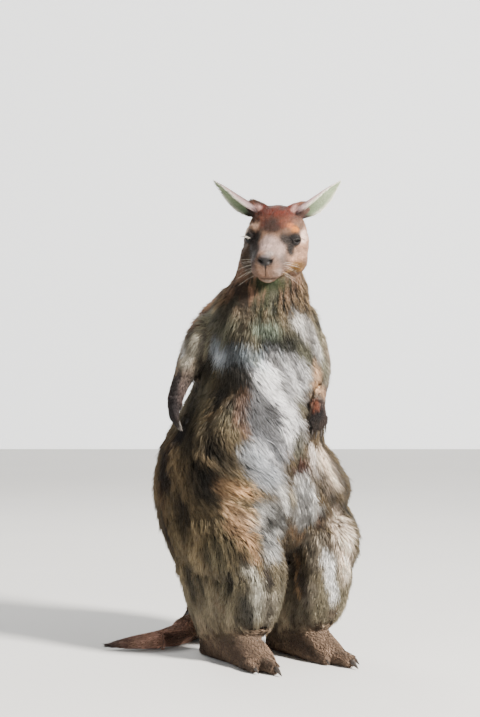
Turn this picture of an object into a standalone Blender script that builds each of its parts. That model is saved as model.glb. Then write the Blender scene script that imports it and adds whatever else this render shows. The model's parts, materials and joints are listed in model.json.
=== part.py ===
"""Kangaroo sitting up on its haunches, looking to its right.

Metres, +Z up, floor at z = 0. The hips face -Y and the animal's left is +X.
Flesh is shaped as one body and then parted into named nodes with thin cuts.
"""
import math

import bmesh
import bpy
import numpy as np
from mathutils import Matrix, Vector

GAP = 0.0003            # thin cut between neighbouring nodes
SEGMENTS = 28           # points round a lofted ring
SHANK_TURN = 0.19       # shanks point a little inward at the front
KNEE_SHIFT = 0.010      # both knees lean to the animal's left over the feet

HEAD_PIVOT = (-0.0030, -0.094, 0.8275)   # middle of the skull
HEAD_YAW = -39.0                    # nose turned to the animal's right
HEAD_PITCH = 19.5                   # nose down
HEAD_ROLL = 3.0
EYE_RADIUS = 0.0125
EYE_PLACE = (0.0405, -0.0400, 0.0155)   # in the head's own axes, left side

BODY_VOXEL = 0.0055
HEAD_VOXEL = 0.0026
LIMB_VOXEL = 0.0026

BODY_TRIANGLES = 1900
HEAD_TRIANGLES = 2900
ARM_TRIANGLES = 520
FOOT_TRIANGLES = 340
NECK_TILT = 38.0                    # slope of the cut under the head, up to the nape
NECK_CUT = (-0.006, -0.082, 0.764)

COLORS = {
    "fur_brown": (0.16, 0.105, 0.07),
    "fur_grey": (0.30, 0.245, 0.19),
    "fur_pale": (0.52, 0.47, 0.41),
    "fur_red": (0.21, 0.085, 0.045),
    "fur_dark": (0.05, 0.035, 0.028),
    "ear_skin": (0.42, 0.40, 0.33),
    "eye": (0.02, 0.012, 0.008),
    "claw": (0.035, 0.03, 0.028),
}
ROUGHNESS = {"eye": 0.08, "claw": 0.45}
SLOTS = {
    # start of the node names: colour slot
    "rump": "fur_brown", "belly": "fur_pale", "chest": "fur_grey", "neck": "fur_grey",
    "head": "fur_red", "ear": "ear_skin", "eye": "eye",
    "thigh": "fur_brown", "shank": "fur_grey", "foot": "fur_dark",
    "upper_arm": "fur_grey", "forearm": "fur_grey", "hand": "fur_dark",
    "tail": "fur_red", "tail_tip": "fur_dark", "claw": "claw",
}


# ---------------------------------------------------------------- helpers

def clear_scene():
    for obj in list(bpy.data.objects):
        bpy.data.objects.remove(obj, do_unlink=True)


def add_mesh(name, verts, faces):
    mesh = bpy.data.meshes.new(name)
    mesh.from_pydata([tuple(v) for v in verts], [], [tuple(f) for f in faces])
    obj = bpy.data.objects.new(name, mesh)
    bpy.context.collection.objects.link(obj)
    shape = bmesh.new()
    shape.from_mesh(mesh)
    bmesh.ops.recalc_face_normals(shape, faces=shape.faces)
    shape.to_mesh(mesh)
    shape.free()
    return obj


def smooth_rows(rows, steps):
    """Station rows with smooth rows put in between them."""
    rows = np.asarray(rows, float)
    pad = np.vstack([2 * rows[0] - rows[1], rows, 2 * rows[-1] - rows[-2]])
    out = []
    for i in range(len(rows) - 1):
        a, b, c, d = pad[i:i + 4]
        for k in range(steps):
            t = k / steps
            row = 2 * b + (c - a) * t + (2 * a - 5 * b + 4 * c - d) * t * t
            out.append(0.5 * (row + (3 * b - a - 3 * c + d) * t ** 3))
    out.append(rows[-1])
    return np.array(out)


def close_rings(name, rings):
    """A closed mesh from rings of equal length, with a fan over each end."""
    rings = np.asarray(rings)
    count, around = rings.shape[:2]
    verts = list(rings.reshape(-1, 3))
    verts += [rings[0].mean(axis=0), rings[-1].mean(axis=0)]
    faces = []
    for i in range(count - 1):
        for j in range(around):
            k = (j + 1) % around
            faces.append((i * around + j, i * around + k,
                          (i + 1) * around + k, (i + 1) * around + j))
    first, last = count * around, count * around + 1
    for j in range(around):
        k = (j + 1) % around
        faces.append((first, k, j))
        faces.append((last, (count - 1) * around + j, (count - 1) * around + k))
    return add_mesh(name, verts, faces)


def power(value, exponent):
    return math.copysign(abs(value) ** exponent, value)


def upright(name, stations, steps=4, fullness=2.2):
    """Level rings: z, centre x, front y, back y, half width, twist in degrees."""
    rings = []
    for z, cx, front, back, half, twist in smooth_rows(stations, steps):
        cy = (front + back) / 2
        depth = (back - front) / 2
        turn = math.radians(twist)
        ring = []
        for j in range(SEGMENTS):
            angle = 2 * math.pi * j / SEGMENTS
            x = half * power(math.cos(angle), 2 / fullness)
            y = depth * power(math.sin(angle), 2 / fullness)
            ring.append((cx + x * math.cos(turn) - y * math.sin(turn),
                         cy + x * math.sin(turn) + y * math.cos(turn), z))
        rings.append(ring)
    return close_rings(name, rings)


def limb(name, stations, steps=4, side=(1, 0, 0), around=20, power_of=2.0):
    """Rings square to a path: x, y, z, half breadth along side, half depth."""
    rows = smooth_rows(stations, steps)
    path = rows[:, :3]
    run = np.gradient(path, axis=0)
    rings = []
    for point, tangent, row in zip(path, run, rows):
        tangent = Vector(tangent).normalized()
        across = Vector(side)
        across = (across - across.dot(tangent) * tangent).normalized()
        fore = tangent.cross(across)
        ring = []
        for j in range(around):
            angle = 2 * math.pi * j / around
            a = max(row[3], 0.0006) * power(math.cos(angle), 2 / power_of)
            b = max(row[4], 0.0006) * power(math.sin(angle), 2 / power_of)
            ring.append(Vector(point) + across * a + fore * b)
        rings.append(ring)
    return close_rings(name, rings)


def ball(name, center, radii, rotation=(0, 0, 0), rings=12, around=18):
    rows = []
    for i in range(1, rings):
        level = math.pi * i / rings
        rows.append([(math.sin(level) * math.cos(2 * math.pi * j / around),
                      math.sin(level) * math.sin(2 * math.pi * j / around),
                      math.cos(level)) for j in range(around)])
    obj = close_rings(name, rows)
    mesh = obj.data
    mesh.vertices[-2].co = (0, 0, 1)
    mesh.vertices[-1].co = (0, 0, -1)
    turn = Matrix.Rotation(math.radians(rotation[2]), 4, "Z")
    turn = turn @ Matrix.Rotation(math.radians(rotation[1]), 4, "Y")
    turn = turn @ Matrix.Rotation(math.radians(rotation[0]), 4, "X")
    mesh.transform(Matrix.Translation(center) @ turn @ Matrix.Diagonal((*radii, 1)))
    return obj


def mirrored(rows):
    """Station rows of the left side, on the right side."""
    return [(-row[0],) + tuple(row[1:]) for row in rows]


def select_only(obj):
    bpy.ops.object.select_all(action="DESELECT")
    obj.select_set(True)
    bpy.context.view_layer.objects.active = obj


def apply_modifier(obj, kind, **settings):
    select_only(obj)
    modifier = obj.modifiers.new(kind, kind)
    for key, value in settings.items():
        setattr(modifier, key, value)
    bpy.ops.object.modifier_apply(modifier=modifier.name)


def fuse(name, parts, voxel, smooth, triangles):
    """One smooth skin over overlapping lofts, thinned to a triangle count."""
    bpy.ops.object.select_all(action="DESELECT")
    for part in parts:
        part.select_set(True)
    bpy.context.view_layer.objects.active = parts[0]
    if len(parts) > 1:
        bpy.ops.object.join()
    obj = bpy.context.view_layer.objects.active
    obj.name = name
    apply_modifier(obj, "REMESH", mode="VOXEL", voxel_size=voxel, adaptivity=0.0)
    apply_modifier(obj, "SMOOTH", factor=0.5, iterations=smooth)
    apply_modifier(obj, "TRIANGULATE")
    ratio = min(1.0, triangles / len(obj.data.polygons))
    apply_modifier(obj, "DECIMATE", decimate_type="COLLAPSE", ratio=ratio)
    return obj


def duplicate(obj, name):
    copy = bpy.data.objects.new(name, obj.data.copy())
    bpy.context.collection.objects.link(copy)
    return copy


def boolean(obj, cutter, operation):
    apply_modifier(obj, "BOOLEAN", operation=operation, solver="EXACT", object=cutter)
    bpy.data.objects.remove(cutter, do_unlink=True)
    shape = bmesh.new()
    shape.from_mesh(obj.data)
    bmesh.ops.remove_doubles(shape, verts=shape.verts, dist=0.00003)
    bmesh.ops.dissolve_degenerate(shape, edges=shape.edges, dist=0.00003)
    shape.to_mesh(obj.data)
    shape.free()


def swell(obj, distance):
    """The same shape grown outward by a small distance."""
    copy = duplicate(obj, obj.name + "_grown")
    shape = bmesh.new()
    shape.from_mesh(copy.data)
    shape.normal_update()
    moves = [vert.normal.copy() for vert in shape.verts]
    for vert, move in zip(shape.verts, moves):
        vert.co += move * distance
    shape.to_mesh(copy.data)
    shape.free()
    return copy


def cell(center, size, turn=(0, 0, 0)):
    """A box cutter, turned about its own centre."""
    x, y, z = (value / 2 for value in size)
    verts = [(i * x, j * y, k * z) for i in (-1, 1) for j in (-1, 1) for k in (-1, 1)]
    faces = [(0, 1, 3, 2), (4, 6, 7, 5), (0, 4, 5, 1), (2, 3, 7, 6), (0, 2, 6, 4), (1, 5, 7, 3)]
    obj = add_mesh("cell", verts, faces)
    obj.hide_render = True
    obj.display_type = "WIRE"
    rot = Matrix.Rotation(math.radians(turn[2]), 4, "Z")
    rot = rot @ Matrix.Rotation(math.radians(turn[1]), 4, "Y")
    rot = rot @ Matrix.Rotation(math.radians(turn[0]), 4, "X")
    obj.data.transform(Matrix.Translation(center) @ rot)
    return obj


def part_off(body, name, center, size, turn=(0, 0, 0)):
    """Takes what lies in the cell off the body as its own node, with a thin gap."""
    piece = duplicate(body, name)
    boolean(piece, cell(center, size, turn), "INTERSECT")
    grown = [value + 2 * GAP for value in size]
    boolean(body, cell(center, grown, turn), "DIFFERENCE")
    return piece


def keep_largest(obj):
    """Drops the specks that a cut can leave beside the main piece."""
    shape = bmesh.new()
    shape.from_mesh(obj.data)
    shape.verts.ensure_lookup_table()
    groups = []
    left = set(shape.verts)
    while left:
        group = {left.pop()}
        front = list(group)
        while front:
            vert = front.pop()
            for edge in vert.link_edges:
                other = edge.other_vert(vert)
                if other in left:
                    left.discard(other)
                    group.add(other)
                    front.append(other)
        groups.append(group)
    groups.sort(key=len, reverse=True)
    for group in groups[1:]:
        bmesh.ops.delete(shape, geom=list(group), context="VERTS")
    shape.to_mesh(obj.data)
    shape.free()


def trim(obj, neighbour):
    """Cuts back whatever reaches into the neighbour, leaving the thin gap."""
    boolean(obj, swell(neighbour, GAP), "DIFFERENCE")
    keep_largest(obj)


def flat_below(obj, level=0.0):
    """Cuts off what is under the floor."""
    boolean(obj, cell((0, 0, level - 1.0), (4, 4, 2.0)), "DIFFERENCE")


def head_matrix():
    turn = Matrix.Rotation(math.radians(HEAD_YAW), 4, "Z")
    turn = turn @ Matrix.Rotation(math.radians(HEAD_PITCH), 4, "X")
    turn = turn @ Matrix.Rotation(math.radians(HEAD_ROLL), 4, "Y")
    return Matrix.Translation(HEAD_PIVOT) @ turn


def slot_of(name):
    """The colour slot of a node: the longest start of its name in SLOTS."""
    starts = [start for start in SLOTS if name.startswith(start)]
    return SLOTS[max(starts, key=len)]


def paint(obj):
    slot = slot_of(obj.name)
    material = bpy.data.materials.new(obj.name)
    material.use_nodes = True
    shader = material.node_tree.nodes["Principled BSDF"]
    shader.inputs["Base Color"].default_value = (*COLORS[slot], 1.0)
    shader.inputs["Roughness"].default_value = ROUGHNESS.get(slot, 0.9)
    shader.inputs["Metallic"].default_value = 0.0
    obj.data.materials.clear()
    obj.data.materials.append(material)


# ---------------------------------------------------------------- body lofts

def trunk_loft():
    """Rump, pear-shaped belly, narrow chest and neck, turning as they rise."""
    stations = [
        # z, centre x, front y, back y, half width, twist
        (0.085, 0.000, 0.030, 0.120, 0.050, 0),
        (0.120, 0.000, 0.000, 0.160, 0.085, 0),
        (0.160, 0.000, -0.040, 0.190, 0.118, 0),
        (0.205, 0.000, -0.100, 0.210, 0.145, 0),
        (0.250, 0.000, -0.158, 0.222, 0.166, 0),
        (0.300, -0.003, -0.190, 0.226, 0.178, 0),
        (0.350, -0.006, -0.203, 0.218, 0.184, -1),
        (0.400, -0.018, -0.195, 0.200, 0.168, -3),
        (0.440, -0.024, -0.184, 0.182, 0.150, -5),
        (0.490, -0.008, -0.174, 0.158, 0.139, -8),
        (0.540, -0.002, -0.164, 0.132, 0.128, -11),
        (0.600, 0.000, -0.166, 0.106, 0.118, -14),
        (0.650, -0.008, -0.160, 0.080, 0.111, -17),
        (0.690, -0.014, -0.149, 0.056, 0.102, -21),
        (0.720, -0.010, -0.140, 0.038, 0.089, -25),
        (0.745, -0.002, -0.134, 0.018, 0.076, -28),
        (0.770, 0.000, -0.128, 0.006, 0.065, -31),
        (0.798, 0.000, -0.120, 0.000, 0.057, -35),
        (0.822, 0.000, -0.110, -0.010, 0.045, -38),
        (0.842, 0.000, -0.096, -0.026, 0.027, -38),
    ]
    return upright("trunk", stations)


SHANK_END = [
    # x, y, z, half breadth, half depth
    (0.085, -0.026, 0.103, 0.054, 0.126),
    (0.080, -0.016, 0.066, 0.042, 0.098),
    (0.078, -0.010, 0.036, 0.032, 0.074),
]


def lean(rows):
    """Station rows moved to the left, more with height above the feet."""
    return [(row[0] + KNEE_SHIFT * min(1.0, max(0.0, (row[2] - 0.04) / 0.1)), *row[1:])
            for row in rows]


def leg_lofts(side):
    """Folded thigh, knee, shank and calf of one hind leg."""
    haunch = [
        (0.088, 0.120, 0.335, 0.060, 0.070),
        (0.106, 0.062, 0.300, 0.070, 0.092),
        (0.114, -0.008, 0.268, 0.068, 0.092),
        (0.110, -0.078, 0.246, 0.062, 0.084),
        (0.100, -0.130, 0.222, 0.052, 0.070),
        (0.090, -0.162, 0.202, 0.036, 0.048),
    ]
    shank = [
        (0.099, -0.030, 0.285, 0.056, 0.104),
        (0.098, -0.040, 0.240, 0.065, 0.132),
        (0.095, -0.045, 0.200, 0.067, 0.146),
        (0.090, -0.040, 0.150, 0.063, 0.146),
    ] + SHANK_END
    across = (1, -SHANK_TURN * side, 0)
    if side > 0:
        haunch = [(row[0] + 0.003, *row[1:]) for row in haunch]
    else:
        haunch, shank = mirrored(haunch), mirrored(shank)
    return [limb("haunch", haunch),
            limb("shank", lean(shank), side=across, power_of=2.3)]


def tail_loft():
    stations = [
        # x, y, z, half breadth, half depth
        (0.000, 0.080, 0.260, 0.084, 0.092),
        (0.006, 0.140, 0.186, 0.074, 0.082),
        (0.014, 0.190, 0.124, 0.063, 0.067),
        (0.020, 0.228, 0.076, 0.051, 0.054),
        (0.010, 0.245, 0.044, 0.041, 0.042),
        (-0.025, 0.229, 0.029, 0.032, 0.031),
        (-0.060, 0.195, 0.0255, 0.028, 0.028),
        (-0.092, 0.163, 0.0235, 0.025, 0.025),
        (-0.127, 0.145, 0.0205, 0.022, 0.022),
        (-0.166, 0.148, 0.0175, 0.0185, 0.0185),
        (-0.206, 0.165, 0.0135, 0.0140, 0.0140),
        (-0.247, 0.189, 0.0065, 0.0055, 0.0055),
    ]
    return limb("tail", stations, steps=4, side=(1, 0.9, 0.02))


ARM_LEFT = [
    (0.070, -0.040, 0.668, 0.036, 0.042),
    (0.092, -0.040, 0.640, 0.034, 0.042),
    (0.107, -0.046, 0.600, 0.030, 0.034),
    (0.090, -0.096, 0.560, 0.022, 0.025),
    (0.056, -0.152, 0.522, 0.0165, 0.018),
    (0.045, -0.170, 0.500, 0.015, 0.015),
]
ARM_RIGHT = [
    (-0.080, 0.000, 0.665, 0.036, 0.042),
    (-0.106, 0.012, 0.635, 0.034, 0.040),
    (-0.123, 0.026, 0.600, 0.028, 0.033),
    (-0.149, 0.020, 0.560, 0.020, 0.024),
    (-0.171, 0.008, 0.524, 0.0155, 0.018),
    (-0.178, 0.002, 0.500, 0.0145, 0.015),
]


def body_parts():
    parts = [trunk_loft(), tail_loft()]
    parts += leg_lofts(1) + leg_lofts(-1)
    parts.append(ball("shoulder_l", (0.074, -0.042, 0.655), (0.043, 0.056, 0.060)))
    parts.append(ball("shoulder_r", (-0.086, 0.000, 0.648), (0.043, 0.056, 0.060)))
    parts.append(ball("chest_ruff", (-0.024, -0.104, 0.612), (0.092, 0.060, 0.068), (0, 0, -14)))
    return parts


# ---------------------------------------------------------------- hands, feet

def finger_rows(base, tip, bend, radius):
    base, tip, bend = Vector(base), Vector(tip), Vector(bend)
    middle = (base + tip) / 2 + bend
    return [(*base, radius * 1.15, radius * 1.15), (*middle, radius, radius),
            (*tip, radius * 0.7, radius * 0.7)]


def claw_loft(name, base, tip, hook, radius):
    """A hooked claw; it starts inside the finger or toe."""
    base, tip, hook = Vector(base), Vector(tip), Vector(hook)
    middle = (base + tip) / 2 + hook
    rows = [(*base, radius * 0.85, radius), (*middle, radius * 0.7, radius * 0.85),
            (*tip, 0.0007, 0.0007)]
    return limb(name, rows, steps=1, side=(0.92, 0.3, 0.2), around=6)


def frame_from(origin, down, palm):
    """Columns: across the hand, out of its back, towards its fingertips."""
    down = Vector(down).normalized()
    palm = Vector(palm)
    back = -(palm - palm.dot(down) * down).normalized()
    across = back.cross(down)
    matrix = Matrix((across, back, down)).transposed().to_4x4()
    matrix.translation = Vector(origin)
    return matrix


HANDS = {
    # wrist centre, direction to the fingertips, side the palm faces
    "l": ((0.045, -0.172, 0.506), (-0.08, -0.27, -1.0), (0.10, 1.0, 0.0)),
    "r": ((-0.178, 0.003, 0.510), (-0.04, -0.06, -1.0), (0.90, -0.2, 0.0)),
}
FINGERS = [
    # across at knuckle, across at tip, length from the wrist, curl
    (-0.0130, -0.0175, 0.037, 0.003),
    (-0.0075, -0.0095, 0.047, 0.005),
    (-0.0002, -0.0005, 0.050, 0.006),
    (0.0072, 0.0085, 0.047, 0.005),
    (0.0130, 0.0165, 0.039, 0.003),
]


def arm_lofts(side, arm):
    """Upper arm, forearm, palm and five curled fingers, with the claws apart."""
    place = frame_from(*HANDS[side])
    palm = [(0, 0, -0.012, 0.0135, 0.0125), (0, 0, 0.008, 0.0150, 0.0115),
            (0, 0.0005, 0.024, 0.0165, 0.0100), (0, 0.000, 0.034, 0.0140, 0.0080)]
    parts = [limb("palm", palm)]
    claws = []
    for index, (knuckle, end, length, curl) in enumerate(FINGERS):
        base = (knuckle, 0.001, 0.022)
        tip = (end, -curl * 1.6, length)
        parts.append(limb("finger", finger_rows(base, tip, (0, curl * 0.5, 0), 0.0057),
                          steps=3, around=10))
        claws.append(claw_loft("claw_hand_%s_%d" % (side, index + 1),
                               (end, -curl * 1.5 - 0.0005, length - 0.004),
                               (end * 1.12, -curl * 2.6 - 0.004, length + 0.013),
                               (0, 0.0018, 0.0012), 0.0027))
    for obj in parts + claws:
        obj.data.transform(place)
    parts.append(limb("arm", arm))
    return parts, claws


FOOT = [
    # y, centre x, half width, top z
    (0.062, 0.076, 0.014, 0.036),
    (0.050, 0.076, 0.024, 0.058),
    (0.005, 0.076, 0.030, 0.080),
    (-0.050, 0.076, 0.032, 0.084),
    (-0.105, 0.077, 0.034, 0.070),
    (-0.152, 0.078, 0.033, 0.048),
    (-0.186, 0.079, 0.024, 0.036),
]
TOES = [
    # name, base x, base y, tip x, tip y, half width, height, claw length
    ("4", 0.080, -0.155, 0.083, -0.236, 0.0140, 0.0300, 0.026),
    ("5", 0.103, -0.140, 0.110, -0.203, 0.0100, 0.0230, 0.018),
    ("23", 0.058, -0.140, 0.056, -0.188, 0.0080, 0.0200, 0.013),
]


def foot_lofts(side):
    """Long flat foot with a big middle toe, a side toe and the small joined toes."""
    rings = []
    for y, cx, half, top in smooth_rows(FOOT, 3):
        middle = top * 0.42
        ring = []
        for j in range(20):
            angle = 2 * math.pi * j / 20
            x = half * power(math.cos(angle), 0.8)
            z = math.sin(angle)
            z = middle + (top - middle) * z if z > 0 else middle + (middle + 0.006) * power(z, 0.6)
            ring.append((side * (cx + x), y, z))
        rings.append(ring)
    parts = [close_rings("sole", rings)]
    claws = []
    for name, bx, by, tx, ty, half, height, length in TOES:
        rows = [(side * bx, by, height * 0.50, half, height * 0.62),
                (side * (bx + tx) / 2, (by + ty) / 2, height * 0.48, half, height * 0.54),
                (side * tx, ty, height * 0.40, half * 0.72, height * 0.42)]
        parts.append(limb("toe", rows, steps=3, around=14))
        claws.append(claw_loft(
            "claw_foot_%s_%s" % ("l" if side > 0 else "r", name),
            (side * tx, ty + 0.008, height * 0.52), (side * (tx + 0.001), ty - length, 0.0022),
            (0, -0.001, 0.0022), half * 0.48))
    shank = SHANK_END if side > 0 else mirrored(SHANK_END)
    parts.append(limb("ankle", lean(shank), side=(1, -SHANK_TURN * side, 0), power_of=2.3))
    return parts, claws


# ---------------------------------------------------------------- head

HEAD_STATIONS = [
    # y, top z, bottom z, half width, height of the widest place (0..1)
    (0.074, 0.018, -0.022, 0.022, 0.50),
    (0.058, 0.042, -0.044, 0.042, 0.48),
    (0.034, 0.061, -0.056, 0.055, 0.44),
    (0.008, 0.067, -0.061, 0.063, 0.40),
    (-0.016, 0.064, -0.062, 0.0635, 0.38),
    (-0.040, 0.053, -0.060, 0.0550, 0.36),
    (-0.062, 0.041, -0.056, 0.0440, 0.36),
    (-0.084, 0.031, -0.050, 0.0360, 0.37),
    (-0.104, 0.023, -0.0465, 0.0315, 0.40),
    (-0.121, 0.016, -0.0415, 0.0275, 0.44),
    (-0.133, 0.005, -0.032, 0.0190, 0.48),
]


def head_loft():
    rings = []
    for y, top, bottom, half, level in smooth_rows(HEAD_STATIONS, 3):
        middle = bottom + (top - bottom) * level
        ring = []
        for j in range(SEGMENTS):
            angle = 2 * math.pi * j / SEGMENTS
            x = half * power(math.cos(angle), 0.94)
            z = math.sin(angle)
            z = middle + (top - middle if z > 0 else middle - bottom) * z
            ring.append((x, y, z))
        rings.append(ring)
    return close_rings("skull", rings)


def head_parts():
    """Skull and muzzle, cheeks, brows over the eyes, lips and chin, ear roots."""
    parts = [head_loft()]
    for side in (1, -1):
        parts.append(ball("cheek", (side * 0.037, -0.012, -0.027), (0.0255, 0.050, 0.034),
                          (0, 0, side * 20)))
        parts.append(ball("brow", (side * 0.0345, -0.028, 0.0285), (0.0185, 0.034, 0.0118),
                          (0, side * 24, side * 22)))
        parts.append(ball("lip", (side * 0.0135, -0.104, -0.023), (0.0180, 0.026, 0.0190),
                          (0, 0, side * 12)))
        root = [(side * 0.022, 0.011, 0.044, 0.018, 0.020),
                (side * 0.038, 0.015, 0.054, 0.0165, 0.0175),
                (side * 0.055, 0.018, 0.065, 0.0130, 0.0130)]
        parts.append(limb("ear_root", root, side=(0, 1, 0)))
    parts.append(ball("chin", (0, -0.100, -0.0425), (0.0180, 0.022, 0.0100)))
    parts.append(ball("nose_bed", (0, -0.1215, 0.0030), (0.0205, 0.0150, 0.0150)))
    for part in parts:
        part.data.transform(head_matrix())
    return parts


EAR_LENGTH = 0.110
EAR_THICK = 0.0034
EAR_HALF = [0.0130, 0.0162, 0.0200, 0.0222, 0.0226, 0.0212, 0.0182, 0.0136, 0.0076, 0.0020]


def ear(side):
    """Thin leaf-shaped cup, rolled into a tube at its root."""
    rows = []
    across = 5
    last = len(EAR_HALF) - 1
    for i, half in enumerate(EAR_HALF):
        u = i / last
        wrap = math.radians(110 - 54 * min(1.0, u * 1.2))
        lean = 0.007 * math.sin(math.pi * u)
        radius = half / math.sin(min(wrap, math.pi / 2))
        thick = min(EAR_THICK * (1.0 - 0.3 * u), radius * 0.5)
        back = -radius * 0.6 - lean
        outer, inner = [], []
        for j in range(across + 1):
            angle = wrap * (2 * j / across - 1)
            rim = 0.45 + 0.55 * math.cos(math.pi / 2 * (2 * j / across - 1))
            inside = radius - thick * rim
            outer.append((radius * math.sin(angle), radius * math.cos(angle) + back,
                          EAR_LENGTH * u))
            inner.append((inside * math.sin(angle * 0.985),
                          inside * math.cos(angle * 0.985) + back, EAR_LENGTH * u))
        rows.append(outer + inner[::-1])
    obj = close_rings("ear_" + ("l" if side > 0 else "r"), rows)
    if side < 0:
        obj.data.transform(Matrix.Diagonal((-1, 1, 1, 1)))
        obj.data.flip_normals()
    return obj


EARS = {
    # root in head axes, direction of the tip, direction the opening faces
    1: ((0.034, 0.016, 0.051), (0.815, 0.14, 0.60), (0.42, -0.68, -0.60)),
    -1: ((-0.034, 0.016, 0.051), (-0.865, 0.06, 0.53), (-0.40, -0.68, -0.60)),
}


def place_ear(obj, side):
    root, tip, facing = EARS[side]
    along = Vector(tip).normalized()
    back = -Vector(facing)
    back = (back - back.dot(along) * along).normalized()
    across = back.cross(along)
    matrix = Matrix((across, back, along)).transposed().to_4x4()
    matrix.translation = Vector(root)
    obj.data.transform(head_matrix() @ matrix)


# ---------------------------------------------------------------- assembly

def build_arm(side, body):
    """One arm trimmed to the chest and parted at elbow and wrist."""
    name = "l" if side > 0 else "r"
    rows = ARM_LEFT if side > 0 else ARM_RIGHT
    parts, claws = arm_lofts(name, rows)
    arm = fuse("arm_" + name, parts, LIMB_VOXEL, 2, ARM_TRIANGLES)
    trim(arm, body)
    wrist = HANDS[name][0]
    part_off(arm, "hand_" + name, (wrist[0], wrist[1], wrist[2] - 0.1), (0.2, 0.2, 0.2))
    elbow = rows[2]
    tilt = 26 if side > 0 else -6
    part_off(arm, "forearm_" + name, (elbow[0], elbow[1], elbow[2] - 0.103),
             (0.4, 0.4, 0.2), (-tilt, 0, 0))
    arm.name = "upper_arm_" + name
    for claw in claws:
        trim(claw, bpy.data.objects["hand_" + name])
        trim(claw, body)


def build_foot(side, body):
    """One foot on a flat sole, parted from the shank at a sloping ankle."""
    name = "l" if side > 0 else "r"
    parts, claws = foot_lofts(side)
    foot = fuse("whole_foot", parts, LIMB_VOXEL, 2, FOOT_TRIANGLES)
    flat_below(foot)
    ankle = ((side * 0.08, -0.08, 0.070 - 0.1), (0.115, 0.44, 0.2), (-9.7, 0, 0))
    part_off(foot, "foot_" + name, *ankle)
    bpy.data.objects.remove(foot, do_unlink=True)
    grown = [value + 2 * GAP for value in ankle[1]]
    boolean(body, cell(ankle[0], grown, ankle[2]), "DIFFERENCE")
    for claw in claws:
        trim(claw, bpy.data.objects["foot_" + name])


def build_head(body):
    """Head and neck top, with eyes in their sockets, nose and ears."""
    head = fuse("whole_head", head_parts() + [trunk_loft()], HEAD_VOXEL, 12, HEAD_TRIANGLES)
    tilt = math.radians(NECK_TILT)
    up = Vector((0, -math.sin(tilt), math.cos(tilt)))
    up.rotate(Matrix.Rotation(math.radians(HEAD_YAW), 4, "Z"))
    middle = Vector(NECK_CUT) + up * 0.15
    turn = (NECK_TILT, 0, HEAD_YAW)
    part_off(head, "head", middle, (0.3, 0.30, 0.3), turn)
    bpy.data.objects.remove(head, do_unlink=True)
    head = bpy.data.objects["head"]
    boolean(body, cell(middle, (0.3 + 2 * GAP,) * 3, turn), "DIFFERENCE")
    for side in (1, -1):
        name = "l" if side > 0 else "r"
        place = head_matrix() @ Vector((side * EYE_PLACE[0], *EYE_PLACE[1:]))
        boolean(head, ball("socket", place, (EYE_RADIUS + GAP,) * 3, rings=10, around=16),
                "DIFFERENCE")
        ball("eye_" + name, place, (EYE_RADIUS,) * 3, rings=8, around=12)
        flap = ear(side)
        place_ear(flap, side)
        trim(flap, head)
    return head


def build():
    clear_scene()
    body = fuse("body", body_parts(), BODY_VOXEL, 10, BODY_TRIANGLES)
    build_head(body)
    for side in (1, -1):
        build_arm(side, body)
        build_foot(side, body)
    flat_below(body)
    part_off(body, "tail_tip", (-0.260, 0.180, 0.01), (0.14, 0.20, 0.12))
    part_off(body, "tail_middle", (-0.125, 0.1825, 0.01), (0.13 - 2 * GAP, 0.155, 0.12))
    part_off(body, "tail_base", (-0.02, 0.280, 0.035), (0.26, 0.24, 0.24), (20, 0, 0))
    for side in (1, -1):
        name = "l" if side > 0 else "r"
        part_off(body, "shank_" + name, (side * 0.12, -0.07, 0.055), (0.22, 0.40, 0.20),
                 (-8, 0, 0))
        part_off(body, "thigh_" + name, (side * 0.185, -0.06, 0.235), (0.19, 0.40, 0.18),
                 (-12, side * 20, side * -4))
    part_off(body, "neck", (0, -0.03, 0.795), (0.4, 0.4, 0.20), (8, 0, -20))
    part_off(body, "chest", (0, 0, 0.70), (0.5, 0.6, 0.33), (4, 0, -12))
    part_off(body, "belly", (0, 0, 0.515), (0.6, 0.8, 0.48), (14, 0, 0))
    body.name = "rump"
    finish()


def finish():
    """Floor under the soles, origin below the middle of the whole, colours."""
    spots = np.array([vert.co for obj in bpy.data.objects for vert in obj.data.vertices])
    low, high = spots.min(axis=0), spots.max(axis=0)
    move = (-(low[0] + high[0]) / 2, -(low[1] + high[1]) / 2, -low[2])
    for obj in bpy.data.objects:
        obj.data.transform(Matrix.Translation(move))
        paint(obj)


if __name__ == "__main__":
    build()
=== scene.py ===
"""Kangaroo resting upright: one skin under a coat of tufts, with eyes, lids, claws and whiskers."""
import json
import math

import bmesh
import bpy
import numpy as np
from mathutils import Matrix, Vector
from mathutils.bvhtree import BVHTree
from mathutils.kdtree import KDTree


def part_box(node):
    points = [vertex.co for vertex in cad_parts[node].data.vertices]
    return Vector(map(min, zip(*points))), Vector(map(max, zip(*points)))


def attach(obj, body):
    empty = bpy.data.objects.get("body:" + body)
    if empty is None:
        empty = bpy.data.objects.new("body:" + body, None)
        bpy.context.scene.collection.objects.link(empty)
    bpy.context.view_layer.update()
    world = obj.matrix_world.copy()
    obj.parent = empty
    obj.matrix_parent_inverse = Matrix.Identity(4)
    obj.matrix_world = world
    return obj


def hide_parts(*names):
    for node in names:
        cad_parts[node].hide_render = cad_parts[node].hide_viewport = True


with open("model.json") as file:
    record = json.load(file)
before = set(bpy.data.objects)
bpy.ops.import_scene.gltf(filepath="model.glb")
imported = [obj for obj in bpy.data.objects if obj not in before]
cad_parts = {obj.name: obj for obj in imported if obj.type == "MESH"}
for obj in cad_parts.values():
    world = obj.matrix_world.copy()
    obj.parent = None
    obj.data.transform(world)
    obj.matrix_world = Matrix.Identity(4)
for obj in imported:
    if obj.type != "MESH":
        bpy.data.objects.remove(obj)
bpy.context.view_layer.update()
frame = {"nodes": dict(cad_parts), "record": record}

record_slots = {part["node"]: part["material_slot"] for part in frame["record"]["subparts"]}

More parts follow.
